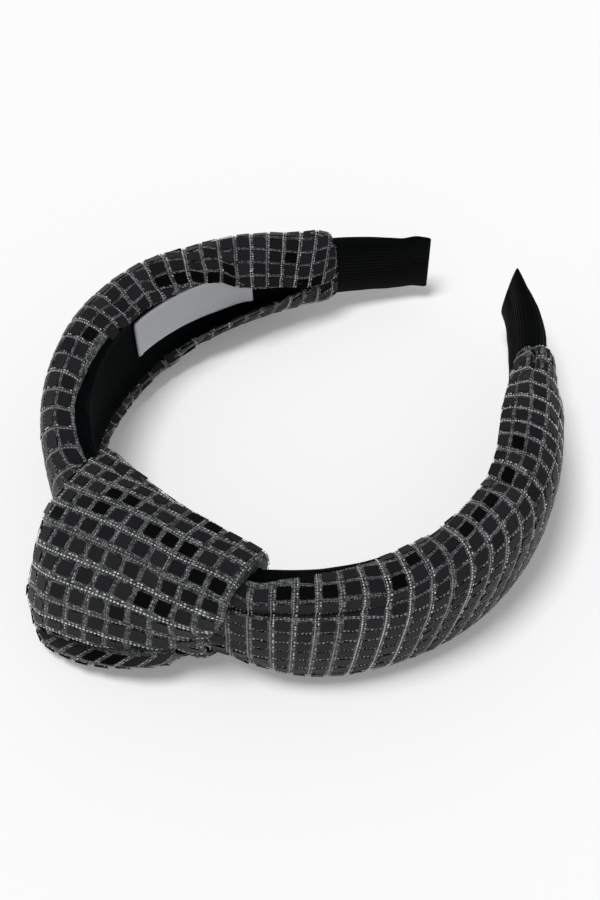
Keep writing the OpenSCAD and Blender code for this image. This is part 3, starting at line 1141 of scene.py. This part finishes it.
    def build(self, making: Making) -> None:
        """Builds the arm's cloth, its squares and its thread."""
        length, pitch = self.hoop.arm_length, making.cloth.pitch
        s, points, girth, _ = self.settled(making.laid)
        making.pad(self.name, 0.7, points, s[:, None], girth)
        first, wide, change, narrow = self.columns
        columns = np.append(
            np.arange(first, change + 0.1, wide), np.arange(change + narrow, length + 24, narrow)
        )
        numbers = np.arange(len(columns)) + self.first_column
        stations = np.arange(0, length + 6, 2.0)
        lips = self.lip_girth(np.minimum(stations, length))

        def wrap(along: Array, across: Array) -> tuple[Array, Array]:
            place = np.interp(along / pitch, numbers, columns)
            lean, drift = (read(table, place / length) for table in (self.lean, self.drift))
            past = across * self.row_pitch / pitch
            slip = np.where(past < 0, np.maximum(past, -self.lean_depth), 0.5 * past)
            return place + lean * slip, past + drift

        def shows(place: Array, girth: Array) -> Array:
            edge = np.interp(place, stations, lips) + 1.5
            on = (place > 12) & (place < length + 4) & (girth < read(self.lap, place) - 0.4)
            return on & (girth > -edge - 4) & (girth < edge)

        span = (self.first_column, int(numbers[-1]), -16, 6)
        seed = 11 + self.side.value
        lie = Lie(wrap, shows, span, Run.ACROSS, seed, self.fill, self.painted_reflections)
        making.lay(self.name, self.cover(making.laid), lie)


@dataclass
class Knot:
    """The wide padded loop over both arms at the crown, sizes in mm."""

    hoop: Hoop
    arm: Arm
    left: float = 34.0
    right: float = 27.0
    size: float = 32.0
    wall: float = 2.0
    slant: float = 4.0
    roll: float = 1.8
    inset: float = 0.5
    notch: float = 3.2
    notch_turn: float = 84.0
    notch_spread: float = 36.0
    gap: float = 1.2
    lip_turn: float = 52.0
    drops: tuple[float, ...] = (
        -48.5, -42.5, -36.5, -30.5, -24.5, -18.6, -10.3, -2.8, 4.5, 11.2, 17.0, 22.5, 27.1, 32.5,
        38, 43.5, 49, 54.5, 60,
    )
    drops_above: int = 8
    column: float = 5.55
    column_middle: float = -0.4
    bow: float = 0.008
    bow_middle: float = 12.0

    @property
    def length(self) -> float:
        """The knot's length across the head."""
        return self.left + self.right

    def x_at(self, share: Array, turn: Array) -> Array:
        """The place across the head of a share of the knot's length."""
        return -self.left + self.length * share + self.slant * sind(turn)

    def band_y(self, x: Array, r: Array) -> Array:
        """How far back the band is at x, r outwards from its inner face."""
        radius = self.hoop.head_radius
        return radius - np.sqrt((radius + r) ** 2 - x * x)

    @property
    def crown_depth(self) -> float:
        """The padding's depth where the arms meet."""
        return self.arm.pad_depth * ARM_ROWS[0, 2]

    def middle(self, x: Array) -> Array:
        """The middle of the band's section at x."""
        return (self.band_y(x, 0) + self.band_y(x, self.crown_depth)) / 2

    def hole(self, x: Array, turn: Array) -> Array:
        """The hole round the arms, boxy behind and rounder in front."""
        radius = self.hoop.head_radius
        s = radius * np.arcsin(np.abs(x) / (radius + self.crown_depth / 2))
        behind = np.abs(turn) > 90
        back = self.band_y(x, 0) - self.middle(x)
        front = self.middle(x) - self.band_y(x, self.arm.depth(s))
        reach = np.where(behind, back, front) + self.gap
        wide = self.arm.width(s) / 2 + self.gap
        power = np.where(behind, 7, 3)
        around = (np.abs(cosd(turn)) / reach) ** power + (np.abs(sind(turn)) / wide) ** power
        return around ** (-1 / power)

    def size_at(self, x: Array, share: Array, turn: Array) -> Array:
        """The knot's reach from the middle of the band's section.

        Args:
            x: place across the head.
            share: the share of the knot's length there.
            turn: degrees round the section from its front.

        Returns:
            The reach in mm.
        """
        share, turn = np.broadcast_arrays(np.asarray(share, float), np.asarray(turn, float))
        row = [eased(KNOT_ROWS, share, c) for c in range(1, 9)]
        back, crest, top, face, front, lip, under, foot = row
        values = [
            back, (back + foot) / 2, foot, under, lip, front, face, top, crest,
            0.45 * (back + crest), back,
        ]
        reach = self.size * by_turn(turn, KNOT_TURNS, values)
        return np.maximum(reach, self.hole(x, turn) + self.wall)

    def point(self, x: Array, turn: Array, size: Array) -> Array:
        """A point of a loop round the band at x."""
        return coords(x, self.middle(x) - size * cosd(turn), size * sind(turn))

    def surface(self, along: Array, turn: Array) -> Array:
        """The knot's surface, rolled in over both ends.

        Args:
            along: place across the head, which may run past the ends to follow the roll.
            turn: degrees round the section.

        Returns:
            The points.
        """
        along, turn = np.broadcast_arrays(along, turn)
        start = self.x_at(0, turn)
        notch = self.notch * bell((turn - self.notch_turn) / self.notch_spread)
        inside = np.clip(along, start + self.roll + notch, self.x_at(1, turn) - self.roll)
        over = along - inside
        angle = np.minimum(np.abs(over) / self.roll, math.pi / 2)
        rest = np.maximum(np.abs(over) - self.roll * math.pi / 2, 0)
        size = self.size_at(inside, (inside - start) / self.length, turn)
        for place, at, length, spread, deep in KNOT_PLEATS:
            size = size - deep * bell((inside - place) / length, (turn - at) / spread)
        least = self.hole(inside, turn) + np.where(over > 0, -0.9, 0.2)
        size = np.maximum(size - self.roll * (1 - np.cos(angle)) - rest, least)
        return self.point(inside + np.sign(over) * self.roll * np.sin(angle), turn, size)

    def build(self, making: Making) -> None:
        """Builds the knot's cloth, its squares and its thread."""
        along = np.arange(-self.left - 9, self.right + 9.01, 0.5)
        turn = np.linspace(-180, 180, 481)
        points = softened(self.surface(along[:, None], turn), 5)
        run = girths(points)
        start = int(np.argmin(np.abs(turn - self.lip_turn)))
        girth = run - run[:, start : start + 1]
        points, inside = making.laid(points), making.laid(self.point(along, 0, 0))
        ends = (along < -self.left + 2) | (along > self.right - 1)
        hidden = (girth > 34) | (girth < -26)
        points = points + Settle().moves(points, hidden | ends[:, None])
        away = points - inside[:, None]
        points -= self.inset * away / sizes(away)
        making.pad("knot_wrap", 0.6, points[:, ::2], along[:, None], girth[:, ::2], capped=False)
        across = np.arange(-44.0, 80.0, 0.5)
        cover = Cover.of(along, across, resampled(points, girth, across), inside)
        numbers = np.arange(len(self.drops)) - self.drops_above

        def wrap(along: Array, across: Array) -> tuple[Array, Array]:
            x = self.column_middle + along * self.column / making.cloth.pitch
            level = np.interp(across / making.cloth.pitch, numbers, self.drops)
            return x, level - self.bow * (x - self.bow_middle) ** 2

        def shows(x: Array, girth: Array) -> Array:
            return (x > -self.left - 3) & (x < self.right + 5) & (girth > -42)

        span = (-8, 8, int(numbers[0]) + 1, int(numbers[-1]))
        lie = Lie(wrap, shows, span, Run.ALONG, 51, (0.7, 0.6), KNOT_PAINTED_REFLECTIONS)
        making.lay("knot_wrap", cover, lie)


@dataclass
class Tuck:
    """The folded layer that shows under the knot's lip, sizes in mm."""

    knot: Knot
    end: float = 0.9
    gap: float = 0.9
    wall: float = 1.0
    round_in: float = 4.0
    turns: tuple[float, ...] = (-33, -38, -60, -108)
    skew: float = 0.7
    steps: int = 81

    def faces(self, share: Array, turn: Array) -> tuple[Array, Array]:
        """The points of the layer's outer face and of its back, which hugs the knot."""
        share, turn = np.broadcast_arrays(share, turn)
        knot = self.knot
        x = knot.x_at(share, turn)
        back = knot.size_at(x, share, turn) + self.gap
        size = by_turn(turn, self.turns, [eased(TUCK_ROWS, share, c) for c in range(1, 5)])
        front = np.maximum(back + self.wall, knot.size * size)
        ends = np.minimum(share, self.end - share) * knot.length / self.round_in
        front = back + (front - back) * rounded(ends, 0.02)
        return knot.point(x, turn, front), knot.point(x, turn, back)

    def build(self, making: Making) -> None:
        """Builds the layer's cloth, its squares and its thread."""
        share = np.linspace(0.012, self.end, 91)
        turn = np.linspace(self.turns[0], self.turns[-1], self.steps)
        rings = closed(*self.faces(share[:, None], turn))
        for _ in range(2):
            bare = rings[:, :-1]
            near = (np.roll(bare, 1, 1) + np.roll(bare, -1, 1)) / 2
            rings[:, :-1] = (bare + near) / 2
            rings[:, -1] = rings[:, 0]
        run, points = girths(rings), making.laid(rings)
        along = share * self.knot.length
        making.pad("knot_tuck", 0.3, points, along[:, None], run)
        across = np.arange(0, 36, 0.5)
        table = resampled(points[:, : self.steps], run[:, : self.steps], across)
        inside = making.laid(self.knot.point(self.knot.x_at(share, -70), 0, 0))

        def wrap(u: Array, v: Array) -> tuple[Array, Array]:
            return 30 + 0.95 * u - self.skew * v, 2.3 + 0.9 * v

        def shows(x: Array, girth: Array) -> Array:
            return (x > 1.5) & (x < along[-1] - 1) & (girth > 0.6) & (girth < 22)

        # Squares that carry the painted reflection of the room's dark (near-black film).
        painted_reflections = ((-3, 0), (1, 0), (2, 0))
        lie = Lie(wrap, shows, (-7, 9, -3, 5), Run.ACROSS, 91, (0.68, 0.68), painted_reflections)
        making.lay("knot_tuck", Cover.of(along, across, table, inside), lie)


@dataclass
class Lining:
    """The smooth strip along the inner face, and the label stitched on it, sizes in mm."""

    hoop: Hoop
    arm: Arm
    length: float = 159.1
    label_start: float = 91.0
    label_length: float = 42.8
    label_width: float = 15
    label_wall: float = 0.5
    label_top: float = 10.7
    label_edge: float = 0.4
    askew: float = 1.3
    hem: float = 1.6

    def wide(self, s: Array) -> Array:
        """The strip's width at length s."""
        return self.arm.channel(s) - 2 * self.arm.clearance

    def profile(self, s: Array, across: Array) -> Array:
        """The strip's visible face at height across, outwards from the inner face."""
        deep = self.arm.floor(s) - self.arm.clearance
        past = np.clip((np.abs(across) / self.wide(s) - 0.3) / 0.2, 0, 1)
        return deep * (1 - 0.45 * past**1.5) - self.arm.lining_wall

    def strip(self, side: Side, s: Array, laid: Laying) -> tuple[Array, Array]:
        """Closed rings of the strip on one side, and the height of each point."""
        wide, wall = self.wide(s)[:, None], self.arm.lining_wall
        shares = np.linspace(-0.5, 0.5, 33)
        across = wide * shares
        edge = 1 - np.clip((0.5 - np.abs(shares)) * wide / 0.6, 0, 1)
        thick = wall * np.sqrt(1 - 0.96 * edge**2)
        middle = self.profile(s[:, None], across) + wall / 2
        z = closed(across, across)
        r = closed(middle + thick / 2, middle - thick / 2)
        return laid(self.hoop.placed(side, s[:, None], r, z)), z

    def build(self, making: Making) -> None:
        """Builds the lining and the label."""
        s = np.arange(0, self.length, 1.5)
        sides = ((Side.LEFT, s[:0:-1]), (Side.RIGHT, s))
        halves = [self.strip(side, half, making.laid) for side, half in sides]
        points, z = (np.concatenate(parts) for parts in zip(*halves))
        along = np.append(-s[:0:-1], s)[:, None]
        skin = Skin("lining_satin", "lining", making.finishes["lining"], ("lining",))
        skin.build(points, along, z)
        self.label(making)

    def label(self, making: Making) -> None:
        """Builds the label."""
        length, edge = self.label_length, self.label_edge
        at = np.array([0, 0.15, *np.linspace(edge, length - edge, 48), length - 0.15, length])
        low = self.label_top - self.label_width + self.askew * at / length
        across = np.linspace(low, np.full(len(at), self.label_top), 25, axis=1)
        near = np.minimum(at, length - at)
        fold = 1 + 0.5 * (near < self.hem)
        face = self.profile(self.label_start + at[:, None], across) - self.arm.clearance
        thick = (self.label_wall * fold * rounded(near / edge, 0.1))[:, None]
        r, z = closed(face, face - thick), closed(across, across)
        points = making.laid(self.hoop.placed(Side.LEFT, self.label_start + at[:, None], r, z))
        skin = Skin("label_woven", "label", making.finishes["label"], ("label",))
        skin.build(points, at[:, None], z)


@dataclass
class Tip:
    """One ribbon-wrapped end of the hoop, sizes in mm."""

    hoop: Hoop
    side: Side
    rows: Array
    width: float = 20.0
    depth: float = 9.0
    middle: float = 4.6
    rib: float = 0.95
    rib_depth: float = 0.13
    reach: float = 9.0
    steps: int = 400

    def rings(self, at: Array) -> tuple[Array, Array]:
        """Sections of the tip, their points evenly spaced.

        Args:
            at: lengths from the arm's end, negative inside the arm.

        Returns:
            Distance outwards and height, and the girth of each point.
        """
        share = np.clip(at / self.hoop.tip_length, 0, 1)
        end = rounded(self.hoop.tip_length - at, 0.02)
        squeeze = np.interp(at, [-self.reach, -1, 0.5], [0.75, 0.8, 1])
        wide = self.width * eased(self.rows, share, 1) / 2 * squeeze - 0.6 * (1 - end)
        deep = self.depth * eased(self.rows, share, 2) / 2 * squeeze * (0.35 + 0.65 * end)
        turn = np.linspace(0, 2 * math.pi, 481)
        t = np.sin(turn)
        bow = np.sign(np.cos(turn)) * np.sqrt(1 - np.abs(t) ** 3)
        rings = coords(deep[:, None] * bow, wide[:, None] * t)
        run = girths(rings)
        even = np.linspace(0, 1, self.steps + 1)
        girth = even * run[:, -1:]
        rings = resampled(rings, run, girth)
        wave = np.cos(2 * math.pi * round(run[0, -1] / self.rib) * even)
        lift = self.rib_depth * wave * end[:, None]
        rings = rings * (1 + lift[..., None] / sizes(rings))
        rings[..., 1] += eased(self.rows, share, 3)[:, None]
        return rings, girth

    def build(self, making: Making) -> None:
        """Builds the ribbon with its lengthwise ribs."""
        length, name = self.hoop.tip_length, f"{self.side.name.lower()}_tip"
        ends = length - np.array([0.6, 0.3, 0.1, 0])
        at = np.append(np.linspace(-self.reach, length - 1, 60), ends)
        rings, girth = self.rings(at)
        s, r = self.hoop.arm_length + at[:, None], self.middle + rings[..., 0]
        points = making.laid(self.hoop.placed(self.side, s, r, rings[..., 1]))
        skin = Skin(f"{name}_ribbon", "ribbon", making.finishes["ribbon"], (name,))
        skin.build(points, at[:, None], girth)


@dataclass
class Lap:
    """The satin that laps over an arm's inner rim beside the knot, sizes in mm."""

    arm: Arm
    over: float = 5.0
    wall: float = 0.3
    edge: float = 0.5

    def build(self, making: Making) -> None:
        """Builds the lap."""
        s = np.arange(self.arm.lap[0, 0], self.arm.lap[-1, 0] + 0.1, 1.0)
        start = read(self.arm.lap, s)[:, None]
        width = self.arm.lip_girth(s)[:, None] + self.over - start
        share = np.linspace(0, 1, 29)
        girth = start + width * share
        near = np.minimum(share, 1 - share) * width / self.edge
        thick = self.wall * rounded(near, 0.05) / 2
        cover, middle = self.arm.cover(making.laid), 0.1 + self.wall / 2
        faces = [cover.at(s[:, None], girth, middle + side * thick) for side in (1, -1)]
        name = f"lining_lap_{self.arm.side.name.lower()}"
        skin = Skin(name, "lining", making.finishes["lining"])
        skin.build(closed(*faces), s[:, None], closed(girth, girth))
        f"{self.arm.name}_ground"


@dataclass(frozen=True)
class Studio:
    """A pale floor, a broad soft light from the upper left and the camera."""

    target: tuple[float, float, float] = (3.35, -0.41, 19.93)
    azimuth: float = 42.691
    elevation: float = 52.502
    distance: float = 486.58
    roll: float = 3.589
    lens: float = 64.63
    sky: float = 0.32
    sun: float = 2.05
    sun_angle: float = 22.0
    sun_right: float = -0.22
    sun_away: float = -0.08
    floor_size: float = 8.0
    floor_glow: float = 0.18

    def axes(self) -> tuple[Vector, Vector]:
        """The picture's right and the way away from the camera, both level."""
        az = math.radians(self.azimuth)
        return Vector((math.cos(az), math.sin(az), 0)), Vector((-math.sin(az), math.cos(az), 0))

    def camera(self) -> None:
        """Adds the camera at the photograph's angle."""
        data = bpy.data.cameras.new("camera")
        data.lens = self.lens
        data.sensor_fit = "VERTICAL"
        data.sensor_height = 36
        data.clip_start = 0.01
        camera = bpy.data.objects.new("camera", data)
        bpy.context.scene.collection.objects.link(camera)
        level, away = self.axes()
        el, turn = math.radians(self.elevation), math.radians(self.roll)
        back = -away * math.cos(el) + Vector((0, 0, math.sin(el)))
        upright = back.cross(level)
        right = level * math.cos(turn) - upright * math.sin(turn)
        up = upright * math.cos(turn) + level * math.sin(turn)
        frame = Matrix((right, up, back)).transposed().to_4x4()
        frame.translation = (Vector(self.target) + back * self.distance) * MM
        camera.matrix_world = frame
        bpy.context.scene.camera = camera

    def floor(self) -> None:
        """Adds the floor, pale and matt."""
        bm = bmesh.new()
        bmesh.ops.create_grid(bm, x_segments=1, y_segments=1, size=self.floor_size)
        floor = link_mesh("floor", bm)
        material, tree = new_material("studio_paper_lit")
        add_shader(
            tree, Base_Color=srgb("ebebeb"), Roughness=0.9, Specular_IOR_Level=0.0,
            Emission_Color=srgb("ffffff"), Emission_Strength=self.floor_glow,
        )
        floor.data.materials.append(material)

    def lights(self) -> None:
        """Adds the sky and one broad soft sun from the upper left."""
        world = bpy.data.worlds.new("studio")
        bpy.context.scene.world = world
        world.use_nodes = True
        sky = world.node_tree.nodes["Background"].inputs
        sky["Color"].default_value = (1, 1, 1, 1)
        sky["Strength"].default_value = self.sky
        data = bpy.data.lights.new("soft_sun", "SUN")
        data.energy = self.sun
        data.angle = math.radians(self.sun_angle)
        sun = bpy.data.objects.new("soft_sun", data)
        sun.visible_glossy = False
        bpy.context.scene.collection.objects.link(sun)
        level, away = self.axes()
        towards = self.sun_right * level + self.sun_away * away + Vector((0, 0, 1))
        sun.rotation_euler = towards.normalized().to_track_quat("Z", "Y").to_euler()

    def build(self) -> None:
        """Adds all of it and keeps the picture's tones as they are."""
        self.camera()
        self.floor()
        self.lights()
        bpy.context.scene.view_settings.view_transform = "Standard"


ARM_ROWS = np.array(
    # place, width, depth, channel
    [[0, 0.8, 0.58, 1], [0.15, 0.82, 0.62, 1], [0.22, 0.92, 0.72, 1], [0.3, 0.99, 0.8, 1],
     [0.42, 1, 0.87, 1], [0.52, 0.99, 0.95, 1], [0.65, 0.96, 0.98, 0.97], [0.76, 0.88, 0.95, 0.9],
     [0.87, 0.77, 0.82, 0.6], [0.95, 0.67, 0.66, 0.26], [1, 0.64, 0.58, 0.11]]
)
KNOT_TURNS = np.array([-180, -130, -90, -32, -27, 0, 52, 90, 114, 140, 180], float)
KNOT_ROWS = np.array(
    # place, back, crest, top, face, front, lip, under, foot
    [[0, 0.3, 0.64, 0.68, 0.56, 0.44, 0.6, 0.46, 0.66],
     [0.05, 0.32, 0.74, 0.76, 0.71, 0.63, 0.83, 0.56, 0.66],
     [0.14, 0.3, 0.8, 0.8, 0.78, 0.8, 1.01, 0.72, 0.66],
     [0.3, 0.3, 0.87, 0.83, 0.74, 0.88, 1.03, 0.74, 0.66],
     [0.52, 0.3, 0.89, 0.85, 0.62, 0.66, 0.84, 0.6, 0.66],
     [0.73, 0.3, 0.87, 0.84, 0.54, 0.48, 0.63, 0.48, 0.66],
     [0.95, 0.28, 0.77, 0.77, 0.5, 0.35, 0.42, 0.38, 0.66],
     [1, 0.26, 0.69, 0.71, 0.46, 0.29, 0.34, 0.34, 0.64]]
)
KNOT_PLEATS = np.array(
    # place across, turn, length, spread, depth in mm
    [[-16, 106, 6, 2.2, 1.6], [-8, 111, 4, 2, 1.4], [1, 113, 5, 2, 1], [29, 4, 5, 3.5, 2.2],
     [28, -12, 5.5, 3.5, 2.4], [-28, -26, 5, 3, 1.2], [16, 52, 5, 9, 0.5]]
)
# Knot squares, by column and row, that carry the painted reflection of the room's dark (near-black
# film).
KNOT_PAINTED_REFLECTIONS = (
    (2, 4), (3, 4), (-2, 3), (-1, 3), (-2, 2), (1, 2), (2, 2), (3, 2), (-4, 1), (4, 1), (5, 1),
    (6, 1), (3, 0), (4, 0), (5, 0), (2, -1), (3, -1), (1, -2),
)
TUCK_ROWS = np.array(
    # place, edge, corner, middle, lower
    [[0, 0.68, 0.8, 0.62, 0.64], [0.05, 0.84, 0.98, 0.72, 0.68], [0.12, 0.98, 1.1, 0.78, 0.7],
     [0.3, 1.04, 1.17, 0.81, 0.71], [0.52, 0.9, 1.02, 0.8, 0.71], [0.74, 0.72, 0.8, 0.76, 0.7],
     [0.9, 0.52, 0.6, 0.7, 0.69]]
)
RIGHT_ARM = {
    # place, turn, length, spread, depth, slant
    "folds": [
        [0.22, 44, 0.13, 9, 0.1, -10], [0.15, 20, 0.035, 10, 0.09, 0],
        [0.15, -14, 0.035, 10, 0.07, 0], [0.15, -48, 0.035, 12, 0.08, 0],
        [0.66, 118, 0.025, 34, 0.16, 0], [0.72, 120, 0.022, 30, 0.1, 0],
        [0.5, 128, 0.02, 24, 0.08, 0], [0.98, 104, 0.05, 7, 0.26, 0],
        [0.95, 30, 0.04, 9, 0.07, 20], [0.94, -10, 0.04, 9, 0.07, 0],
        [0.94, -45, 0.04, 10, 0.07, 0],
    ],
    # place, length, side of the band, inwards, over the lining
    "rims": [
        [0.6, 0.25, 1, 0.8, 0.5], [0.86, 0.14, 1, 2.4, 3], [0.6, 0.2, -1, 0.8, 0.5],
        [0.88, 0.14, -1, -1.2, -0.8],
    ],
    # length, turn, depth, spread
    "crease": [
        [16, 34, 0, 3.5], [25, 38, 0.11, 3.5], [31, 42, 0.14, 3.2], [38, 49, 0.16, 3],
        [45, 50, 0.16, 3], [51, 49.6, 0.15, 3], [58, 48.7, 0.13, 3], [62, 49.4, 0.11, 3],
        [67, 53, 0.08, 3.2], [78, 62, 0.05, 3.5], [88, 64, 0, 4],
    ],
    # length, girth of the lap's edge
    "lap": [
        [13, 24], [27, 26.5], [33, 27.5], [37, 28.6], [40, 30], [44, 31], [48, 32.4], [52, 33.6],
        [60, 34.8], [70, 36.5], [80, 39.5],
    ],
    # place, how far a column runs back for each mm down the front
    "lean": [
        [0.22, 0], [0.31, 0.07], [0.43, 0.12], [0.55, 0.23], [0.67, 0.33], [0.8, 0.45], [0.92, 0.4]
    ],
    # place, girth of the first row's middle
    "drift": [
        [0.12, 22.4], [0.2, 23.5], [0.24, 24.9], [0.3, 25.8], [0.335, 26.2], [0.365, 25.4],
        [0.395, 24], [0.43, 24], [0.465, 25.8], [0.5, 27.8], [0.535, 28.9], [0.57, 30.1],
        [0.64, 30.6], [0.7, 30.2], [0.78, 29.4], [0.85, 27.4], [0.92, 25.2], [1, 20.7],
    ],
    "columns": (12.8, 5.25, 75.8, 5.7),
    "first_column": -4,
    "fill": (0.66, 0.76),
    # Squares, by column and row, that carry the painted reflection of the room's dark (near-black
    # film).
    "painted_reflections": (
        (1, 0), (2, 0), (3, 0), (1, 1), (2, 1), (6, 0), (7, 1), (10, 0), (11, 0), (12, 0), (14, 0),
        (16, 0), (20, 1),
    ),
}
LEFT_ARM = {
    "folds": [
        [0.55, 126, 0.022, 34, 0.15, 0], [0.63, 118, 0.02, 30, 0.13, 0],
        [0.72, 96, 0.02, 26, 0.12, 0], [0.78, 104, 0.016, 26, 0.08, 0],
        [0.36, 128, 0.02, 24, 0.07, 0], [0.94, 58, 0.045, 12, 0.07, 40],
        [0.95, 5, 0.04, 14, 0.06, 0], [0.94, -48, 0.04, 14, 0.06, 0],
    ],
    "rims": [
        [0.66, 0.05, 1, 1.2, 1.6], [0.8, 0.07, 1, 3, 4.2], [0.93, 0.11, 1, 3.2, 8],
        [0.75, 0.12, -1, 2.2, 7.2], [0.89, 0.09, -1, 1.5, 3.5],
    ],
    "crease": [[104, 75, 0, 4], [113, 68, 0.07, 3.5], [121, 66, 0.06, 3.5], [128, 66, 0, 4]],
    "lap": [
        [13, 22.4], [32, 25], [43, 27.4], [49.7, 29], [56.5, 31], [62.5, 32.3], [69, 33.5],
        [76, 34.5], [83, 36], [90, 38.5], [98, 41],
    ],
    "lean": [[0.15, -0.35], [0.3, -0.35], [0.42, -0.2], [0.5, -0.1], [0.72, -0.3], [0.95, -0.35]],
    "drift": [
        [0.2, 21.5], [0.236, 23.4], [0.273, 24.5], [0.31, 26], [0.35, 27], [0.385, 28],
        [0.45, 29], [0.49, 30], [0.56, 30.3], [0.6, 31], [0.64, 31], [0.67, 34.5], [0.7, 35],
        [0.77, 37], [0.85, 37], [0.92, 36], [1, 31],
    ],
    "columns": (14.2, 6.0, 80.2, 4.95),
    "first_column": -3,
    "fill": (0.75, 0.8),
    # Squares, by column and row, that carry the painted reflection of the room's dark (near-black
    # film).
    "painted_reflections": (
        (7, 0), (13, 0), (14, 0), (15, 0), (16, 0), (17, 0), (17, -1), (22, 0), (23, 0), (21, -2),
        (13, -15), (12, -15), (18, -13), (19, -13),
    ),
}
LEFT_TIP = np.array(
    # place, width, depth, drop in mm
    [[0, 1.05, 1, 0], [0.25, 1.02, 0.98, -1], [0.55, 0.98, 0.8, -1.7], [0.72, 0.94, 0.6, -1.5],
     [0.84, 0.98, 0.44, -0.4], [1, 0.96, 0.24, -0.5]]
)
RIGHT_TIP = np.array(
    [[0, 1.05, 1.05, 0], [0.25, 1.04, 1.1, 0], [0.55, 1, 0.92, 0], [0.8, 0.95, 0.55, 0.2],
     [0.92, 0.98, 0.34, 0.6], [1, 0.98, 0.24, 1]]
)


@dataclass
class Headband:
    """The whole headband."""

    hoop: Hoop = field(default_factory=Hoop)
    cloth: SquaredCloth = field(default_factory=SquaredCloth)

    def arm(self, side: Side, tables: dict[str, object]) -> Arm:
        """An arm with its own tables."""
        made = {k: np.array(v, float) if isinstance(v, list) else v for k, v in tables.items()}
        return Arm(self.hoop, side, **made)

    def build(self) -> None:
        """Builds every piece in order."""
        finishes = {name: finish.make() for name, finish in FINISHES.items()}
        right, left = self.arm(Side.RIGHT, RIGHT_ARM), self.arm(Side.LEFT, LEFT_ARM)
        knot = Knot(self.hoop, left)
        tuck = Tuck(knot)
        making = Making(self.laying((right, left), knot, tuck), self.cloth, finishes)
        tips = Tip(self.hoop, Side.LEFT, LEFT_TIP), Tip(self.hoop, Side.RIGHT, RIGHT_TIP)
        lining = Lining(self.hoop, left), Lap(left), Lap(right)
        for piece in (left, right, knot, tuck, *lining, *tips):
            piece.build(making)

    def laying(self, arms: tuple[Arm, Arm], knot: Knot, tuck: Tuck) -> Laying:
        """Finds how the hoop lies, from its bare padded shapes.

        Args:
            arms: the right arm and the left one.
            knot: the knot.
            tuck: the layer under it.

        Returns:
            The laying.
        """
        turn = np.linspace(-180, 180, 145)[None]
        share = np.linspace(0, 1, 62)[:, None]
        x = knot.x_at(share, turn)
        loop = knot.point(x, turn, knot.size_at(x, share, turn))
        lower = np.linspace(tuck.turns[0], tuck.turns[-1], 40)[None]
        fold = tuck.faces(np.linspace(0.05, tuck.end, 40)[:, None], lower)[0]
        low_parts = np.concatenate([loop.reshape(-1, 3), fold.reshape(-1, 3)])
        stations = self.hoop.arm_length * np.arange(0, 46)[:, None] / 45
        tubes = [
            self.hoop.placed(arm.side, stations, *np.moveaxis(arm.outer(stations, turn), -1, 0))
            for arm in arms
        ]
        lows = [
            np.take_along_axis(tube, tube[..., 2].argmin(1)[:, None, None], 1)[18:45, 0]
            for tube in tubes
        ]
        end = self.hoop.arm_length + self.hoop.tip_length
        ends = [self.hoop.placed(side, end, 4.6, z) for side in Side for z in (-9, 9)]
        parts = [low_parts, *(tube.reshape(-1, 3) for tube in tubes), np.array(ends)]
        return Laying.on(low_parts, lows, np.concatenate(parts), self.hoop.press)


def plain(bounds: object) -> list:
    """A box's two corners as plain lists of numbers."""
    return [[float(v) for v in corner] for corner in bounds]


def main() -> None:
    """Loads the frame, builds the headband and the studio."""
    logging.basicConfig(level=logging.INFO, format="%(name)s: %(message)s")
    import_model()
    Headband().build()
    Studio().build()


if __name__ == "__main__":
    main()
